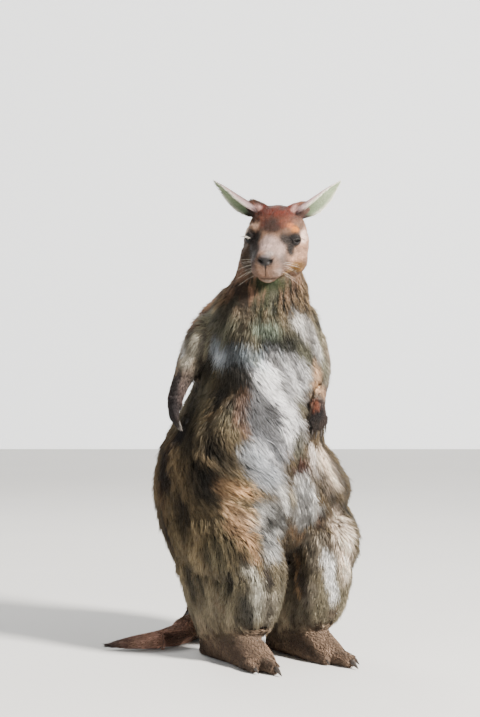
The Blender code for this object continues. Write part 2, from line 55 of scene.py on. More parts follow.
HIPS = np.array((0.03108, -0.01196, 0.0))   # middle of the hips on the floor, where the layout starts
MM = 0.001
SKIN_VOXEL = 0.0023
SKIN_TRIANGLES = 118000
SKIN_OFF_FLOOR, HAIR_OFF_FLOOR = 0.0004, 0.0006
TUFTS = 1.0     # share of the locks

FLESH = ("rump", "belly", "chest", "neck", "head",
         "tail_base", "tail_middle", "tail_tip",
         "thigh_l", "thigh_r", "shank_l", "shank_r", "foot_l", "foot_r",
         "upper_arm_l", "upper_arm_r", "forearm_l", "forearm_r", "hand_l", "hand_r")
CLAWS = tuple(sorted(name for name in frame["nodes"] if name.startswith("claw_")))


# ---------------------------------------------------------------- small tools

def only(*objects):
    """Selects these objects and nothing else, the first of them active."""
    bpy.ops.object.select_all(action="DESELECT")
    for obj in objects:
        obj.select_set(True)
    bpy.context.view_layer.objects.active = objects[0]


def joined(objects):
    """The objects as one, the first."""
    only(*objects)
    bpy.ops.object.join()
    return objects[0]


def placed(name, data):
    """A new object in the scene."""
    obj = bpy.data.objects.new(name, data)
    bpy.context.scene.collection.objects.link(obj)
    return obj


def settle(obj):
    """Puts an object's place into its mesh."""
    only(obj)
    bpy.ops.object.transform_apply(location=True, rotation=True, scale=True)
    return obj


def apply(obj, kind, **settings):
    only(obj)
    modifier = obj.modifiers.new(kind.title(), kind)
    for key, value in settings.items():
        setattr(modifier, key, value)
    bpy.ops.object.modifier_apply(modifier=modifier.name)


def edited(obj, operator, **settings):
    """Runs an operator of edit mode over a whole mesh."""
    only(obj)
    bpy.ops.object.mode_set(mode="EDIT")
    bpy.ops.mesh.select_all(action="SELECT")
    operator(**settings)
    bpy.ops.object.mode_set(mode="OBJECT")


def merged_copy(node, name):
    """A copy of a CAD node with its loose triangles sewn together."""
    mesh = frame["nodes"][node].data.copy()
    mesh.materials.clear()
    obj = placed(name, mesh)
    edited(obj, bpy.ops.mesh.remove_doubles, threshold=0.00002)
    return obj


def rows_of(items, key, width, kind=np.float32):
    """One property of all vertices, edges or faces of a mesh, a row for each."""
    flat = np.empty(len(items) * width, kind)
    items.foreach_get(key, flat)
    return flat.reshape(-1, width)


def points_of(mesh):
    return rows_of(mesh.vertices, "co", 3).astype(float)


def set_points(mesh, points):
    mesh.vertices.foreach_set("co", points.astype(np.float32).ravel())
    mesh.update()


def normals_of(mesh):
    return rows_of(mesh.vertex_normals, "vector", 3).astype(float)


def triangles_of(mesh):
    return rows_of(mesh.polygons, "vertices", 3, np.int32)


def edges_of(mesh):
    return rows_of(mesh.edges, "vertices", 2, np.int32)


def lengths_of(vectors):
    return np.linalg.norm(vectors, axis=1)


def unit(vectors):
    return vectors / np.maximum(np.linalg.norm(vectors, axis=-1, keepdims=True), 1e-9)


def laid_flat(flow, normals):
    """Directions turned flat to the surface."""
    return unit(flow - normals * (flow * normals).sum(axis=1, keepdims=True))


def face_normals(points, faces):
    """Normals of triangles, twice their area long."""
    a, b, c = (points[faces[:, n]] for n in range(3))
    return np.cross(b - a, c - a)


def outward(points, faces):
    """The faces of a closed shape, turned to point out."""
    away = points[faces].mean(axis=1) - points.mean(axis=0)
    return faces[:, ::-1] if (face_normals(points, faces) * away).sum() < 0 else faces


def smoothstep(low, high, value):
    t = np.clip((value - low) / (high - low), 0, 1)
    return t * t * (3 - 2 * t)


def gathered(edges, count, first=None, second=None):
    """Sums at the vertices of what each edge gives its first and second end; how many edges without."""
    return (np.bincount(edges[:, 0], weights=first, minlength=count)
            + np.bincount(edges[:, 1], weights=second, minlength=count))


def spread(values, edges, count, rounds):
    """Values at the vertices, averaged with their neighbours a number of times."""
    a, b = edges.T
    degree = np.maximum(gathered(edges, count), 1)
    values = values.copy()
    for _ in range(rounds):
        total = np.stack([gathered(edges, count, values[b, k], values[a, k])
                          for k in range(values.shape[1])], axis=1)
        values += 0.5 * (total / degree[:, None] - values)
    return values


def drawn_out(values, points, flow, edges, rounds):
    """Values smeared along the lie of the coat, so that they turn into streaks; even spread."""
    a, b = edges.T
    count = len(points)
    run = unit(points[b] - points[a])
    pull = np.abs((run * unit(flow[a] + flow[b])).sum(axis=1)) ** 10 + 0.002
    total = gathered(edges, count, pull, pull)
    for _ in range(rounds):
        near = gathered(edges, count, pull * values[b], pull * values[a])
        values = values + 0.7 * (near / np.maximum(total, 1e-9) - values)
    return np.clip((values - values.mean()) / values.std(), -2.2, 2.2)


def slope(values, points, edges):
    """Direction in which values grow over the skin, at the vertices."""
    a, b = edges.T
    run = points[b] - points[a]
    step = run * ((values[b] - values[a]) / np.maximum((run ** 2).sum(axis=1), 1e-12))[:, None]
    return np.stack([gathered(edges, len(points), along, along) for along in step.T], axis=1) / 6


def surface_tree(points, triangles):
    return BVHTree.FromPolygons([tuple(spot) for spot in points],
                                [tuple(int(i) for i in face) for face in triangles])


def linear(color):
    """A display colour of 0..255 as linear light."""
    c = np.asarray(color, float) / 255
    return np.where(c <= 0.04045, c / 12.92, ((c + 0.055) / 1.055) ** 2.4)


def toward(color, other, mask):
    """Colours moved by a mask to one of 0..255."""
    return color + (linear(other) - color) * mask[:, None]


def mesh_object(name, points, triangles):
    """A smooth object from points and triangles."""
    mesh = bpy.data.meshes.new(name)
    mesh.vertices.add(len(points))
    mesh.vertices.foreach_set("co", points.astype(np.float32).ravel())
    mesh.loops.add(len(triangles) * 3)
    mesh.loops.foreach_set("vertex_index", triangles.astype(np.int32).ravel())
    mesh.polygons.add(len(triangles))
    mesh.polygons.foreach_set("loop_start", np.arange(0, len(triangles) * 3, 3, dtype=np.int32))
    mesh.update(calc_edges=True)
    mesh.shade_smooth()
    return placed(name, mesh)


def set_tint(mesh, name, colors):
    layer = mesh.color_attributes.new(name, "FLOAT_COLOR", "POINT")
    rgba = np.ones((len(colors), 4), np.float32)
    rgba[:, :colors.shape[1]] = colors
    layer.data.foreach_set("color", rgba.ravel())


# ---------------------------------------------------------------- shader maths

class Socket:
    """A shader socket. Arithmetic on it adds the nodes that work it out."""

    def __init__(self, tree, out):
        self.tree = tree
        self.out = out

    def make(self, kind, settings=None, **inputs):
        """Any node: its settings first, then the values or links of its sockets."""
        node = self.tree.nodes.new(kind)
        for key, value in (settings or {}).items():
            setattr(node, key, value)
        for key, value in inputs.items():
            slot = node.inputs[int(key[1:])] if key[1:].isdigit() else node.inputs[key.replace("_", " ")]
            if isinstance(value, Socket):
                self.tree.links.new(value.out, slot)
            else:
                slot.default_value = value
        return node

    def take(self, node, output=0):
        return Socket(self.tree, node.outputs[output])

    def _math(self, operation, a, b=0.0):
        return self.take(self.make("ShaderNodeMath", {"operation": operation}, i0=a, i1=b))

    def __add__(self, other):
        return self._math("ADD", self, other)

    __radd__ = __add__

    def __mul__(self, other):
        return self._math("MULTIPLY", self, other)

    __rmul__ = __mul__

    def __sub__(self, other):
        return self._math("SUBTRACT", self, other)

    def __rsub__(self, other):
        return self._math("SUBTRACT", other, self)

    def clamp(self, low, high):
        """0 below low, 1 above high, smooth between."""
        node = self.make("ShaderNodeMapRange", {"interpolation_type": "SMOOTHSTEP"},
                         i0=self, i1=low, i2=high, i3=0.0, i4=1.0)
        return self.take(node)

    def noise(self, scale, detail=3.0, roughness=0.5):
        """Even noise over this vector."""
        return self.take(self.make("ShaderNodeTexNoise", Vector=self, Scale=scale, Detail=detail,
                                   Roughness=roughness))

    def vector_math(self, operation, output=0, **inputs):
        return self.take(self.make("ShaderNodeVectorMath", {"operation": operation}, i0=self, **inputs),
                         output)

    def mix(self, first, second):
        """first where this is 0, second where it is 1; colours."""
        node = self.make("ShaderNodeMix", {"data_type": "RGBA"}, i0=self, i6=first, i7=second)
        return self.take(node, 2)

    def shaded(self, shade):
        """This colour, darker or lighter by a number."""
        grey = self.take(self.make("ShaderNodeCombineColor", None, Red=shade, Green=shade, Blue=shade))
        node = self.make("ShaderNodeMix", {"data_type": "RGBA", "blend_type": "MULTIPLY"},
                         i0=1.0, i6=self, i7=grey)
        return self.take(node, 2)


def finish_of(name, roughness=0.6, **fixed):
    """A Principled material, its shader, and the place on the object that patterns start from."""
    material = bpy.data.materials.new(name)
    material.use_nodes = True
    tree = material.node_tree
    shader = tree.nodes["Principled BSDF"]
    shader.inputs["Roughness"].default_value = roughness
    for key, value in fixed.items():
        shader.inputs[key.replace("_", " ")].default_value = value
    place = Socket(tree, tree.nodes.new("ShaderNodeTexCoord").outputs["Object"])
    return material, shader, place


def read(place, name, output="Color"):
    return place.take(place.make("ShaderNodeAttribute", {"attribute_name": name}), output)


def wire(place, value, shader, slot):
    place.tree.links.new(value.out, shader.inputs[slot])


def bumped(place, height, distance):
    return place.take(place.make("ShaderNodeBump", None, Height=height, Distance=distance, Strength=1.0))


def coat_finish(name, sheen=0.05):
    """Hair: the coat's colours, painted light and shade among them, uneven from lock to lock, with a soft
    sheen.
    """
    material, shader, place = finish_of(name, 0.55, Sheen_Weight=sheen, Sheen_Roughness=0.45,
                                        Sheen_Tint=(1.0, 0.93, 0.84, 1.0), Specular_IOR_Level=0.2)
    fine = place.noise(420.0, 2.0)
    wide = place.noise(34.0, 3.0)
    shade = 0.72 + fine * 0.34 + wide * 0.22
    wire(place, read(place, "tint").shaded(shade), shader, "Base Color")
    wire(place, 0.48 + fine * 0.22, shader, "Roughness")
    return material


def skin_finish():
    """Short pile on the face and feet, bare black skin on nose and lids."""
    material, shader, place = finish_of("skin", 0.7, Sheen_Weight=0.04, Sheen_Roughness=0.5,
                                        Specular_IOR_Level=0.3)
    pile = place.noise(1500.0, 2.0)
    mottle = place.noise(160.0, 3.0)
    pebble = place.take(place.make("ShaderNodeTexVoronoi", {"feature": "F1"}, Vector=place,
                                   Scale=900.0))
    bare = read(place, "bare", "Fac")
    shade = 0.70 + pile * 0.36 + mottle * 0.24
    wire(place, read(place, "tint").shaded(shade), shader, "Base Color")
    wire(place, 0.76 - bare * 0.34 + pile * 0.1, shader, "Roughness")
    height = pile * (1.0 - bare) + pebble * bare * 0.8
    wire(place, bumped(place, height, 0.0006), shader, "Normal")
    return material


def eye_finish(centre, gaze):
    """Dark brown iris round a wide black pupil, under a wet cornea."""
    material, shader, place = finish_of("eyeball", 0.10, Coat_Roughness=0.03, Specular_IOR_Level=0.03)
    shader.inputs["Coat Weight"].default_value = 0.07
    ray = place.vector_math("SUBTRACT", i1=tuple(centre)).vector_math("NORMALIZE")
    frontal = ray.vector_math("DOT_PRODUCT", "Value", i1=tuple(gaze))
    streak = ray.noise(26.0, 4.0, 0.7)
    iris = (frontal + streak * 0.012).clamp(0.70, 0.74)
    pupil = frontal.clamp(0.84, 0.90)
    brown = streak.mix((0.010, 0.005, 0.002, 1), (0.050, 0.023, 0.009, 1))
    ring = iris.mix((0.012, 0.009, 0.008, 1), brown)
    wire(place, pupil.mix(ring, (0.0015, 0.0012, 0.0012, 1)), shader, "Base Color")
    return material


def claw_finish():
    """Worn black horn, paler in worn patches along the streaks, duller where worn."""
    material, shader, place = finish_of("claw_horn", 0.4, Specular_IOR_Level=0.5)
    grain = place.vector_math("MULTIPLY", i1=(900.0, 160.0, 900.0)).noise(1.0, 3.0, 0.6)
    wear = place.noise(240.0, 3.0)
    color = (grain * wear * 1.6).mix((0.012, 0.010, 0.010, 1), (0.085, 0.068, 0.055, 1))
    wire(place, color, shader, "Base Color")
    wire(place, 0.28 + wear * 0.35, shader, "Roughness")
    wire(place, bumped(place, grain, 0.0003), shader, "Normal")
    return material


def floor_finish():
    material, shader, place = finish_of("studio_floor", 0.85)
    tone = place.noise(2.0, 2.0)
    wire(place, tone.mix((0.62, 0.61, 0.59, 1), (0.66, 0.65, 0.63, 1)), shader, "Base Color")
    return material


# ---------------------------------------------------------------- the head's own axes

def middle(node):
    low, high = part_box(node)
    return (low + high) / 2


EYE_RADIUS = (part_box("eye_l")[1].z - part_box("eye_l")[0].z) / 2
HEAD_TURN = (Matrix.Rotation(math.radians(-39.0), 3, "Z") @ Matrix.Rotation(math.radians(19.5), 3, "X")
             @ Matrix.Rotation(math.radians(3.0), 3, "Y"))
EYE_HALF, EYE_Y, EYE_Z = 0.0405, -0.0400, 0.0155
HEAD_PIVOT = (middle("eye_l") + middle("eye_r")) / 2 - HEAD_TURN @ Vector((0, EYE_Y, EYE_Z))
TURN = np.array(HEAD_TURN)
PIVOT = np.array(HEAD_PIVOT)


def eye_middle(side):
    """The middle of the left (1) or right (-1) eyeball, in the head's axes."""
    return np.array([side * EYE_HALF, EYE_Y, EYE_Z])


def eye_distance(places):
    """Distance from the middle of the nearer eyeball."""
    return np.minimum(lengths_of(places - eye_middle(1)), lengths_of(places - eye_middle(-1)))


def to_head(points):
    """Points in the head's axes: x to its left, -y out of the nose, z up."""
    return (points - PIVOT) @ TURN


def from_head(points):
    return points @ TURN.T + PIVOT


GAZE = unit(np.array([0.68, -0.71, 0.13]))      # out of the left eye, in the head's axes


# ---------------------------------------------------------------- marks of the coat, with painted light and shade

# node: colour at the root and at the tip of the hair, of 0..255
BODY_BASE = {
    "rump": ((22, 17, 11), (62, 50, 34)), "belly": ((32, 26, 18), (90, 76, 56)),
    "chest": ((32, 32, 24), (100, 102, 86)), "neck": ((36, 28, 21), (96, 80, 60)),
    "head": ((60, 42, 33), (116, 88, 70)),
    "tail_base": ((46, 34, 25), (112, 88, 66)), "tail_middle": ((110, 78, 64), (196, 154, 134)),
    "tail_tip": ((34, 26, 24), (52, 42, 38)),
    "thigh": ((29, 24, 16), (84, 73, 53)), "shank": ((50, 46, 35), (140, 132, 110)),
    "foot": ((52, 41, 34), (112, 92, 76)), "upper_arm": ((70, 56, 44), (168, 154, 130)),
    "forearm": ((40, 32, 31), (86, 72, 68)), "hand": ((28, 22, 21), (40, 32, 30)),
}
BODY_MARKS_AND_PAINTED_LIGHT = [
    # route of the mark from the middle of the hips, reach (both in mm), strength, root, tip
    # back and sides
    ([(0, 200, 300), (0, 150, 500), (0, 70, 660)], 110, 0.7, (30, 21, 15), (84, 60, 43)),
    ([(0, 200, 200), (0, 160, 120)], 70, 0.5, (40, 28, 20), (98, 72, 52)),
    ([(-100, 60, 600), (0, 100, 680), (100, 50, 620)], 50, 0.5, (44, 33, 25), (108, 86, 64)),
    ([(170, 50, 330), (150, 20, 200)], 60, 0.5, (46, 34, 24), (116, 92, 68)),
    # side of the neck
    ([(-88, -76, 732), (-107, -81, 701)], 25, 0.8, (46, 34, 26), (92, 70, 54)),
    # shoulder rim: painted rim light along the outline of the near shoulder
    ([(-95, -11, 712), (-110, 24, 689), (-123, 22, 668)], 17, 0.8, (84, 58, 42), (172, 128, 94)),
    # throat: dark hair with painted shade and a painted green reflection
    ([(-35, -129, 737), (-50, -139, 699)], 27, 0.85, (19, 23, 15), (46, 56, 37)),
    # dark beside the throat: dark brown hair, deepened by painted shade under the jaw
    ([(-81, -82, 738), (-80, -105, 725), (-90, -106, 703)], 17, 0.95, (22, 16, 13), (52, 40, 31)),
    # parting of the throat
    ([(-32, -136, 724), (-43, -143, 693), (-51, -148, 666)], 6, 0.7, (48, 46, 36), (96, 92, 76)),
    # side of the chest
    ([(-117, -34, 682), (-108, -101, 666), (-118, -73, 637)], 26, 0.6, (36, 35, 27), (94, 96, 80)),
    # shade under the shoulder
    ([(-98, -111, 679), (-85, -128, 669)], 14, 0.5, (50, 42, 32), (112, 98, 78)),
    # dark of the chest: darker chest hair under the painted shadow of the head
    ([(-49, -154, 638), (-28, -162, 622), (-3, -163, 630)], 26, 1.0, (10, 10, 8), (38, 38, 31)),
    # pale of the chest
    ([(-73, -140, 654), (-34, -155, 653)], 13, 0.7, (64, 70, 59), (138, 150, 131)),
    # brown of the chest
    ([(-103, -114, 641), (-81, -139, 627)], 15, 0.6, (42, 36, 27), (104, 94, 76)),
    # hem of the ruff: white hair, tinted blue by painted shade
    ([(-119, -51, 607), (-115, -91, 585), (-99, -120, 574), (-74, -142, 577), (-50, -156, 586)],
     18, 0.95, (78, 88, 100), (206, 215, 224)),
    # shade in the ruff
    ([(-107, -111, 611), (-84, -139, 616)], 11, 0.5, (72, 76, 80), (150, 156, 160)),
    # upper ruff: pale hair in blue-grey painted shade
    ([(-105, -111, 605), (-85, -135, 600), (-60, -150, 602), (-38, -157, 597)],
     15, 0.85, (44, 50, 56), (128, 137, 144)),
    # top of the belly
    ([(-70, -146, 555), (-22, -163, 572), (5, -164, 557)], 30, 1.0, (140, 136, 136), (246, 245, 247)),
    # white of the belly
    ([(-50, -157, 531), (-26, -171, 493), (-16, -179, 457)], 31, 1.0, (112, 108, 108), (241, 239, 241)),
    # grey of the belly: white hair in blue-grey painted shade
    ([(-84, -150, 501), (-70, -170, 463), (-59, -183, 425)], 26, 0.9, (60, 60, 66), (208, 208, 213)),
    # low grey of the belly: white hair in blue-grey painted shade
    ([(-102, -171, 416), (-69, -191, 378)], 26, 0.9, (44, 48, 54), (196, 200, 206)),
    # shadow under the ruff
    ([(-124, -24, 570), (-119, -88, 552), (-104, -117, 555)], 21, 0.95, (22, 18, 12), (52, 45, 29)),
    # smooth flank: dark brown hair, darker still by the painted shade of the ruff
    ([(-127, -77, 530), (-141, -58, 501), (-154, -41, 475)], 30, 0.95, (26, 22, 15), (62, 53, 35)),
    # crease of the flank
    ([(-109, -115, 534), (-129, -94, 505), (-145, -75, 483)], 4, 0.6, (88, 70, 48), (158, 132, 98)),
    # dark below the crease: painted shade under the fold of the flank
    ([(-121, -107, 509), (-137, -96, 483)], 7, 0.5, (34, 30, 26), (80, 70, 60)),
    # gold border
    ([(-93, -132, 531), (-107, -126, 509), (-109, -136, 485), (-103, -156, 459)],
     7, 0.6, (118, 78, 50), (206, 153, 112)),
    # flank: dark brown hair, darkened by painted shade on the shaded side
    ([(-170, -59, 438), (-152, -116, 430), (-141, -141, 404)], 34, 0.8, (19, 16, 12), (48, 42, 31)),
    # edge of the back: dark brown hair, darkened by painted shade
    ([(-175, 18, 432), (-184, 46, 385), (-184, 55, 331)], 24, 0.8, (20, 14, 10), (54, 38, 26)),
    # parting of the belly
    ([(2, -180, 451), (-6, -190, 414)], 13, 0.9, (34, 32, 26), (98, 94, 78)),
    # pouch: reddish brown, darkened by painted shade in its hollow
    ([(5, -194, 394), (-4, -198, 380)], 11, 1.0, (32, 16, 12), (82, 44, 33)),
    # pale side of the pouch
    ([(38, -176, 425), (27, -193, 385)], 11, 0.8, (180, 166, 160), (246, 236, 230)),
    # gold of the hip
    ([(63, -171, 404), (85, -176, 365)], 22, 0.9, (170, 138, 114), (252, 232, 210)),
    # far shoulder
    ([(18, -153, 666), (60, -137, 643), (78, -127, 609)], 20, 0.85, (148, 140, 132), (241, 237, 233)),
    # far arm
    ([(55, -149, 571), (53, -168, 530)], 18, 0.8, (142, 104, 72), (200, 164, 130)),
    # far hand
    ([(38.5, -185.5, 490), (27.1, -182.1, 477.6), (30.3, -172.7, 450)], 17, 1.0, (13, 11, 11), (30, 26, 26)),
    # near hand
    ([(-188, -7.7, 494.3), (-181.4, 1.4, 470.2), (-178, 1.4, 450)], 17, 0.95, (16, 13, 14), (38, 32, 34)),
    # far wrist
    ([(37, -178, 514), (36, -181, 505)], 9, 0.7, (82, 40, 28), (150, 90, 68)),
    # near arm
    ([(-140, 1, 631), (-148, 4, 591)], 16, 0.7, (108, 102, 92), (196, 190, 174)),
    # rim of the near arm: painted rim light along its outline
    ([(-139, 37, 630), (-151, 23, 603)], 7, 0.7, (150, 150, 148), (226, 226, 224)),
    # near forearm
    ([(-173, 6, 552), (-187, -8, 509)], 14, 0.8, (22, 19, 20), (44, 39, 41)),
    # dark edge of the rump: dark brown hair, darkened by painted shade
    ([(-185, 50, 339), (-177, 53, 271), (-146, 79, 209)], 21, 0.85, (18, 13, 9), (50, 35, 23)),
    # low flank: dark brown hair, darkened by painted shade
    ([(-179, -71, 376), (-174, -83, 338)], 26, 0.8, (18, 15, 10), (46, 39, 27)),
    # dark of the thigh: dark brown hair, darkened by painted shade
    ([(-178, -25, 300), (-176, -51, 269)], 24, 0.75, (11, 8, 6), (30, 23, 16)),
    # purple shade
    ([(-172, -76, 255), (-172, -80, 249)], 9, 0.5, (50, 40, 40), (112, 96, 94)),
    # upper fringe
    ([(-148, -136, 354), (-124, -160, 347), (-103, -174, 340)], 13, 1.0, (112, 82, 56), (176, 142, 104)),
    # bright fringe: pale-tipped fringe with a painted highlight
    ([(-132, -139, 310), (-111, -154, 300), (-94, -162, 284)], 15, 1.0, (138, 102, 72), (218, 182, 142)),
    # fringe of the thigh
    ([(-132, -147, 284), (-119, -169, 267), (-105, -186, 233), (-91, -179, 206)],
     15, 0.95, (96, 72, 50), (160, 128, 96)),
    # pale edge of the shank: painted highlight along the front ridge of the near shank
    ([(-105, -171, 193), (-92, -178, 174), (-88, -177, 146), (-89, -160, 106)],
     16, 0.7, (96, 93, 84), (206, 202, 188)),
    # middle of the thigh
    ([(-155, -130, 221), (-136, -136, 185), (-130, -120, 140)], 30, 0.8, (48, 44, 33), (108, 100, 78)),
    # side of the thigh
    ([(-165, -30, 205), (-149, 9, 158), (-139, -3, 119)], 22, 0.6, (28, 25, 18), (66, 59, 43)),
    # foot of the shank
    ([(-130, -36, 95), (-113, -87, 75)], 18, 0.6, (54, 46, 36), (124, 112, 90)),
    # brown streak
    ([(-132, -86, 132), (-125, -94, 108)], 8, 0.75, (46, 35, 25), (98, 78, 60)),
    # grey streak
    ([(-109, -150, 138), (-105, -148, 119)], 3.5, 0.7, (56, 56, 52), (108, 106, 98)),
    # dark groove: painted shade in the crease beside the near shank's ridge
    ([(-77, -187, 193), (-72, -187, 168)], 8, 1.0, (22, 18, 16), (56, 48, 42)),
    # grey hair between the legs
    ([(-72, -178, 303), (-56, -166, 268), (-58, -182, 230)], 28, 0.95, (74, 72, 70), (168, 168, 166)),
    # brown tuft
    ([(-10, -172, 269), (19, -152, 246)], 11, 0.8, (82, 60, 42), (152, 122, 90)),
    # white of the groin
    ([(3, -202, 351), (11, -197, 323), (18, -186, 297)], 22, 1.0, (226, 222, 218), (252, 250, 246)),
    # white beside it
    ([(-48, -197, 347), (-31, -190, 307)], 9, 0.9, (190, 186, 180), (248, 246, 242)),
    # tan spot
    ([(-29, -199, 344), (-17, -196, 322)], 5, 0.8, (142, 124, 92), (206, 190, 160)),
    # gold line: painted rim light along the edge of the inner shank
    ([(30, -110, 205), (32, -107, 163), (33, -116, 131)], 3, 0.9, (146, 106, 72), (228, 188, 144)),
    # shade between the legs
    ([(28, -78, 185), (33, -64, 144)], 10, 0.8, (48, 40, 32), (106, 93, 77)),
    # dark inner leg: painted shade on the inner side of the far leg
    ([(33, -125, 182), (36, -134, 135)], 10, 0.95, (28, 24, 20), (72, 62, 52)),
    # front of the far leg
    ([(46, -155, 237), (46, -165, 197)], 18, 0.55, (90, 82, 70), (188, 176, 158)),
    # low front of the far leg
    ([(43, -160, 158), (41, -147, 123)], 14, 0.5, (90, 82, 70), (188, 176, 158)),
    # ridge of the far leg: painted highlight along its front ridge
    ([(61, -178, 208), (68, -184, 170), (77, -181, 130)], 14, 0.95, (150, 144, 138), (252, 250, 246)),
    # outside of the far leg
    ([(100, -166, 278), (103, -183, 223), (107, -183, 179)], 22, 0.9, (176, 150, 128), (252, 234, 214)),
    # dark line of the hip
    ([(41, -183, 296), (58, -163, 268)], 5, 0.8, (54, 34, 25), (110, 80, 62)),
    # dark heel
    ([(83, -169, 101), (86, -165, 94)], 12, 0.7, (56, 43, 36), (108, 90, 76)),
    # front of the near shank
    ([(-59, -183, 139), (-55, -168, 96)], 14, 0.65, (88, 80, 68), (180, 170, 152)),
]
HEAD_MARKS_AND_PAINTED_LIGHT = [
    # place in the head's axes, reach (both in mm), strength, root, tip, on both sides
    ((0, 8, 60), (66, 62, 40), 1.0, (32, 10, 5), (82, 26, 11), False),  # crown
    ((0, 62, 0), (60, 36, 70), 0.6, (38, 24, 17), (92, 64, 46), False),  # nape
    ((0, -106, -4), (46, 52, 44), 0.95, (62, 53, 50), (96, 84, 80), False),  # muzzle
    ((0, -53, 47), (34, 29, 20), 0.95, (13, 5, 3), (36, 12, 6), False),  # brow
    ((24, -38, 47), (20, 22, 12), 0.5, (48, 18, 11), (92, 40, 24), True),  # beside the brow
    ((58, -12, -6), (27, 44, 36), 0.9, (124, 88, 68), (192, 148, 120), False),  # left cheek
    ((60, -22, 16), (14, 30, 15), 0.85, (156, 126, 112), (230, 200, 184), False),  # behind the left eye
    ((-58, -12, -8), (27, 44, 36), 0.9, (34, 25, 21), (76, 58, 48), False),  # right cheek, darkened by painted shade
    ((0, -98, 24), (19, 36, 18), 0.95, (104, 86, 80), (160, 136, 129), False),  # bridge
    ((18, -92, 15), (20, 36, 20), 0.85, (100, 82, 75), (156, 132, 122), False),  # left side of the bridge
    ((46, -58, -6), (22, 30, 26), 0.85, (104, 78, 64), (170, 134, 112), False),  # below the left eye
    ((48, -56, -36), (23, 27, 17), 0.9, (66, 44, 19), (124, 90, 45), False),  # gold of the jaw
    ((32, -66, -46), (16, 22, 10), 0.7, (70, 50, 26), (130, 98, 56), False),  # gold under the jaw
    ((-46, -56, -30), (26, 36, 34), 0.9, (30, 24, 20), (66, 56, 46), False),  # right jaw, darkened by painted shade
    ((0, -78, -72), (46, 52, 22), 0.9, (18, 22, 13), (46, 55, 31), False),  # throat, with painted shade and a painted green reflection
    ((-56, -14, 25), (17, 26, 14), 0.95, (164, 136, 118), (240, 212, 190), False),  # outer brow on the right
    ((-37, -37, 41), (14, 18, 10), 0.7, (112, 82, 66), (196, 160, 136), False),  # over the right eye
    ((46, -37, 36.5), (14, 16, 9), 0.95, (108, 60, 20), (184, 112, 44), False),  # gold over the left eye
    ((34, -36, 42), (10, 12, 6), 0.6, (126, 66, 34), (200, 116, 62), False),  # rust beside it
    ((44, -52, 18), (26, 27, 18), 1.0, (8, 6, 6), (19, 13, 12), True),  # eye patch
    ((25, -64, 23), (15, 20, 17), 0.95, (10, 7, 7), (24, 17, 16), True),  # inner corner of the eye
    ((38, -65, 3), (16.5, 19, 17), 1.0, (8, 6, 6), (22, 15, 14), True),  # tear mark
    ((-33, -76, 6), (20, 42, 30), 1.0, (20, 14, 13), (46, 34, 30), False),  # right side of the bridge, darkened by painted shade
    ((-26, -114, -8), (17, 28, 28), 0.95, (26, 22, 21), (64, 56, 53), False),  # right side of the muzzle, darkened by painted shade
    ((10, -130, 15), (15, 12, 5), 0.6, (116, 106, 104), (182, 172, 169), False),  # painted highlight on the top of the nose
    ((-11, -127, 16), (12, 12, 6), 0.7, (92, 68, 56), (156, 124, 106), False),  # over the nose, right
    ((18, -125, -25), (17, 18, 12.5), 0.8, (118, 108, 105), (176, 165, 162), False),  # left lip
    ((-18, -125, -25), (17, 18, 12.5), 0.8, (74, 66, 64), (140, 128, 123), False),  # right lip, greyed by painted shade
    ((0, -137.5, -1), (24, 17, 16.5), 1.0, (9, 8, 9), (16, 14, 15), False),  # nose
    ((1, -133, -18), (5, 13, 12), 0.7, (20, 17, 17), (44, 37, 36), False),  # groove under the nose
    ((0, -100, -39.5), (30, 40, 3.6), 0.6, (26, 20, 20), (56, 44, 40), False),  # mouth
    ((2, -120, -45.5), (12, 12, 4.5), 0.9, (172, 166, 152), (232, 226, 212), False),  # chin
    ((50, 14, 56), (20, 20, 17), 0.9, (24, 16, 14), (56, 38, 34), True),  # root of the ear: dark fur, deepened by painted shade
    ((38, 6, 64), (12, 14, 8), 0.5, (118, 86, 80), (194, 158, 150), True),  # pale hair before the ear, brightened as a painted highlight
]


def blot(points, place, reach):
    """1 at the place, fading to 0 past its reach."""
    distance = lengths_of((points - place) / reach)
    return 1 - smoothstep(0.45, 1.15, distance)


def off_route(points, route):
    """Distance of points from the nearest stretch of a route."""
    nearest = lengths_of(points - route[0])
    for start, end in zip(route[:-1], route[1:]):
        run = end - start
        t = np.clip((points - start) @ run / (run @ run), 0, 1)
        nearest = np.minimum(nearest, lengths_of(points - start - t[:, None] * run))
    return nearest


def lay_strokes(points, root, tip, waver):
    """Marks of the body, painted light and shade among them, their borders frayed by waver."""
    for route, reach, strength, low, high in BODY_MARKS_AND_PAINTED_LIGHT:
        away = off_route(points, np.array(route) * MM) / (reach * MM)
        mask = 1 - smoothstep(0.35, 1.55, away + waver * 0.40)
        root, tip = toward(root, low, mask * strength), toward(tip, high, mask * strength)
    return root, tip


def lay_marks(places, root, tip, share):
    """Marks of the head, painted light and shade among them, alike on both sides where they are said to be."""
    for place, reach, strength, low, high, both in HEAD_MARKS_AND_PAINTED_LIGHT:
        place, reach = np.array(place) * MM, np.array(reach) * MM
        mask = blot(places, place, reach)
        if both:
            mask = np.maximum(mask, blot(places, place * (-1, 1, 1), reach))
        mask = mask * strength * share
        root, tip = toward(root, low, mask), toward(tip, high, mask)
    return root, tip


def family(node):
    """The node's name without its side."""
    return node[:-2] if node[-2:] in ("_l", "_r") else node


def markings_and_painted_light(points, weights, waver):
    """Root and tip colours of the coat at points, painted light and shade among them; weights say how much of
    each node is near.
    """
    low = np.array([linear(BODY_BASE[family(name)][0]) for name in FLESH])
    high = np.array([linear(BODY_BASE[family(name)][1]) for name in FLESH])
    root, tip = lay_strokes(points - HIPS, weights @ low, weights @ high, waver)
    share = 1 - smoothstep(0.112, 0.150, lengths_of((points - PIVOT) / (1, 1, 0.82)))
    return lay_marks(to_head(points), root, tip, share)


# ---------------------------------------------------------------- the lie of the coat

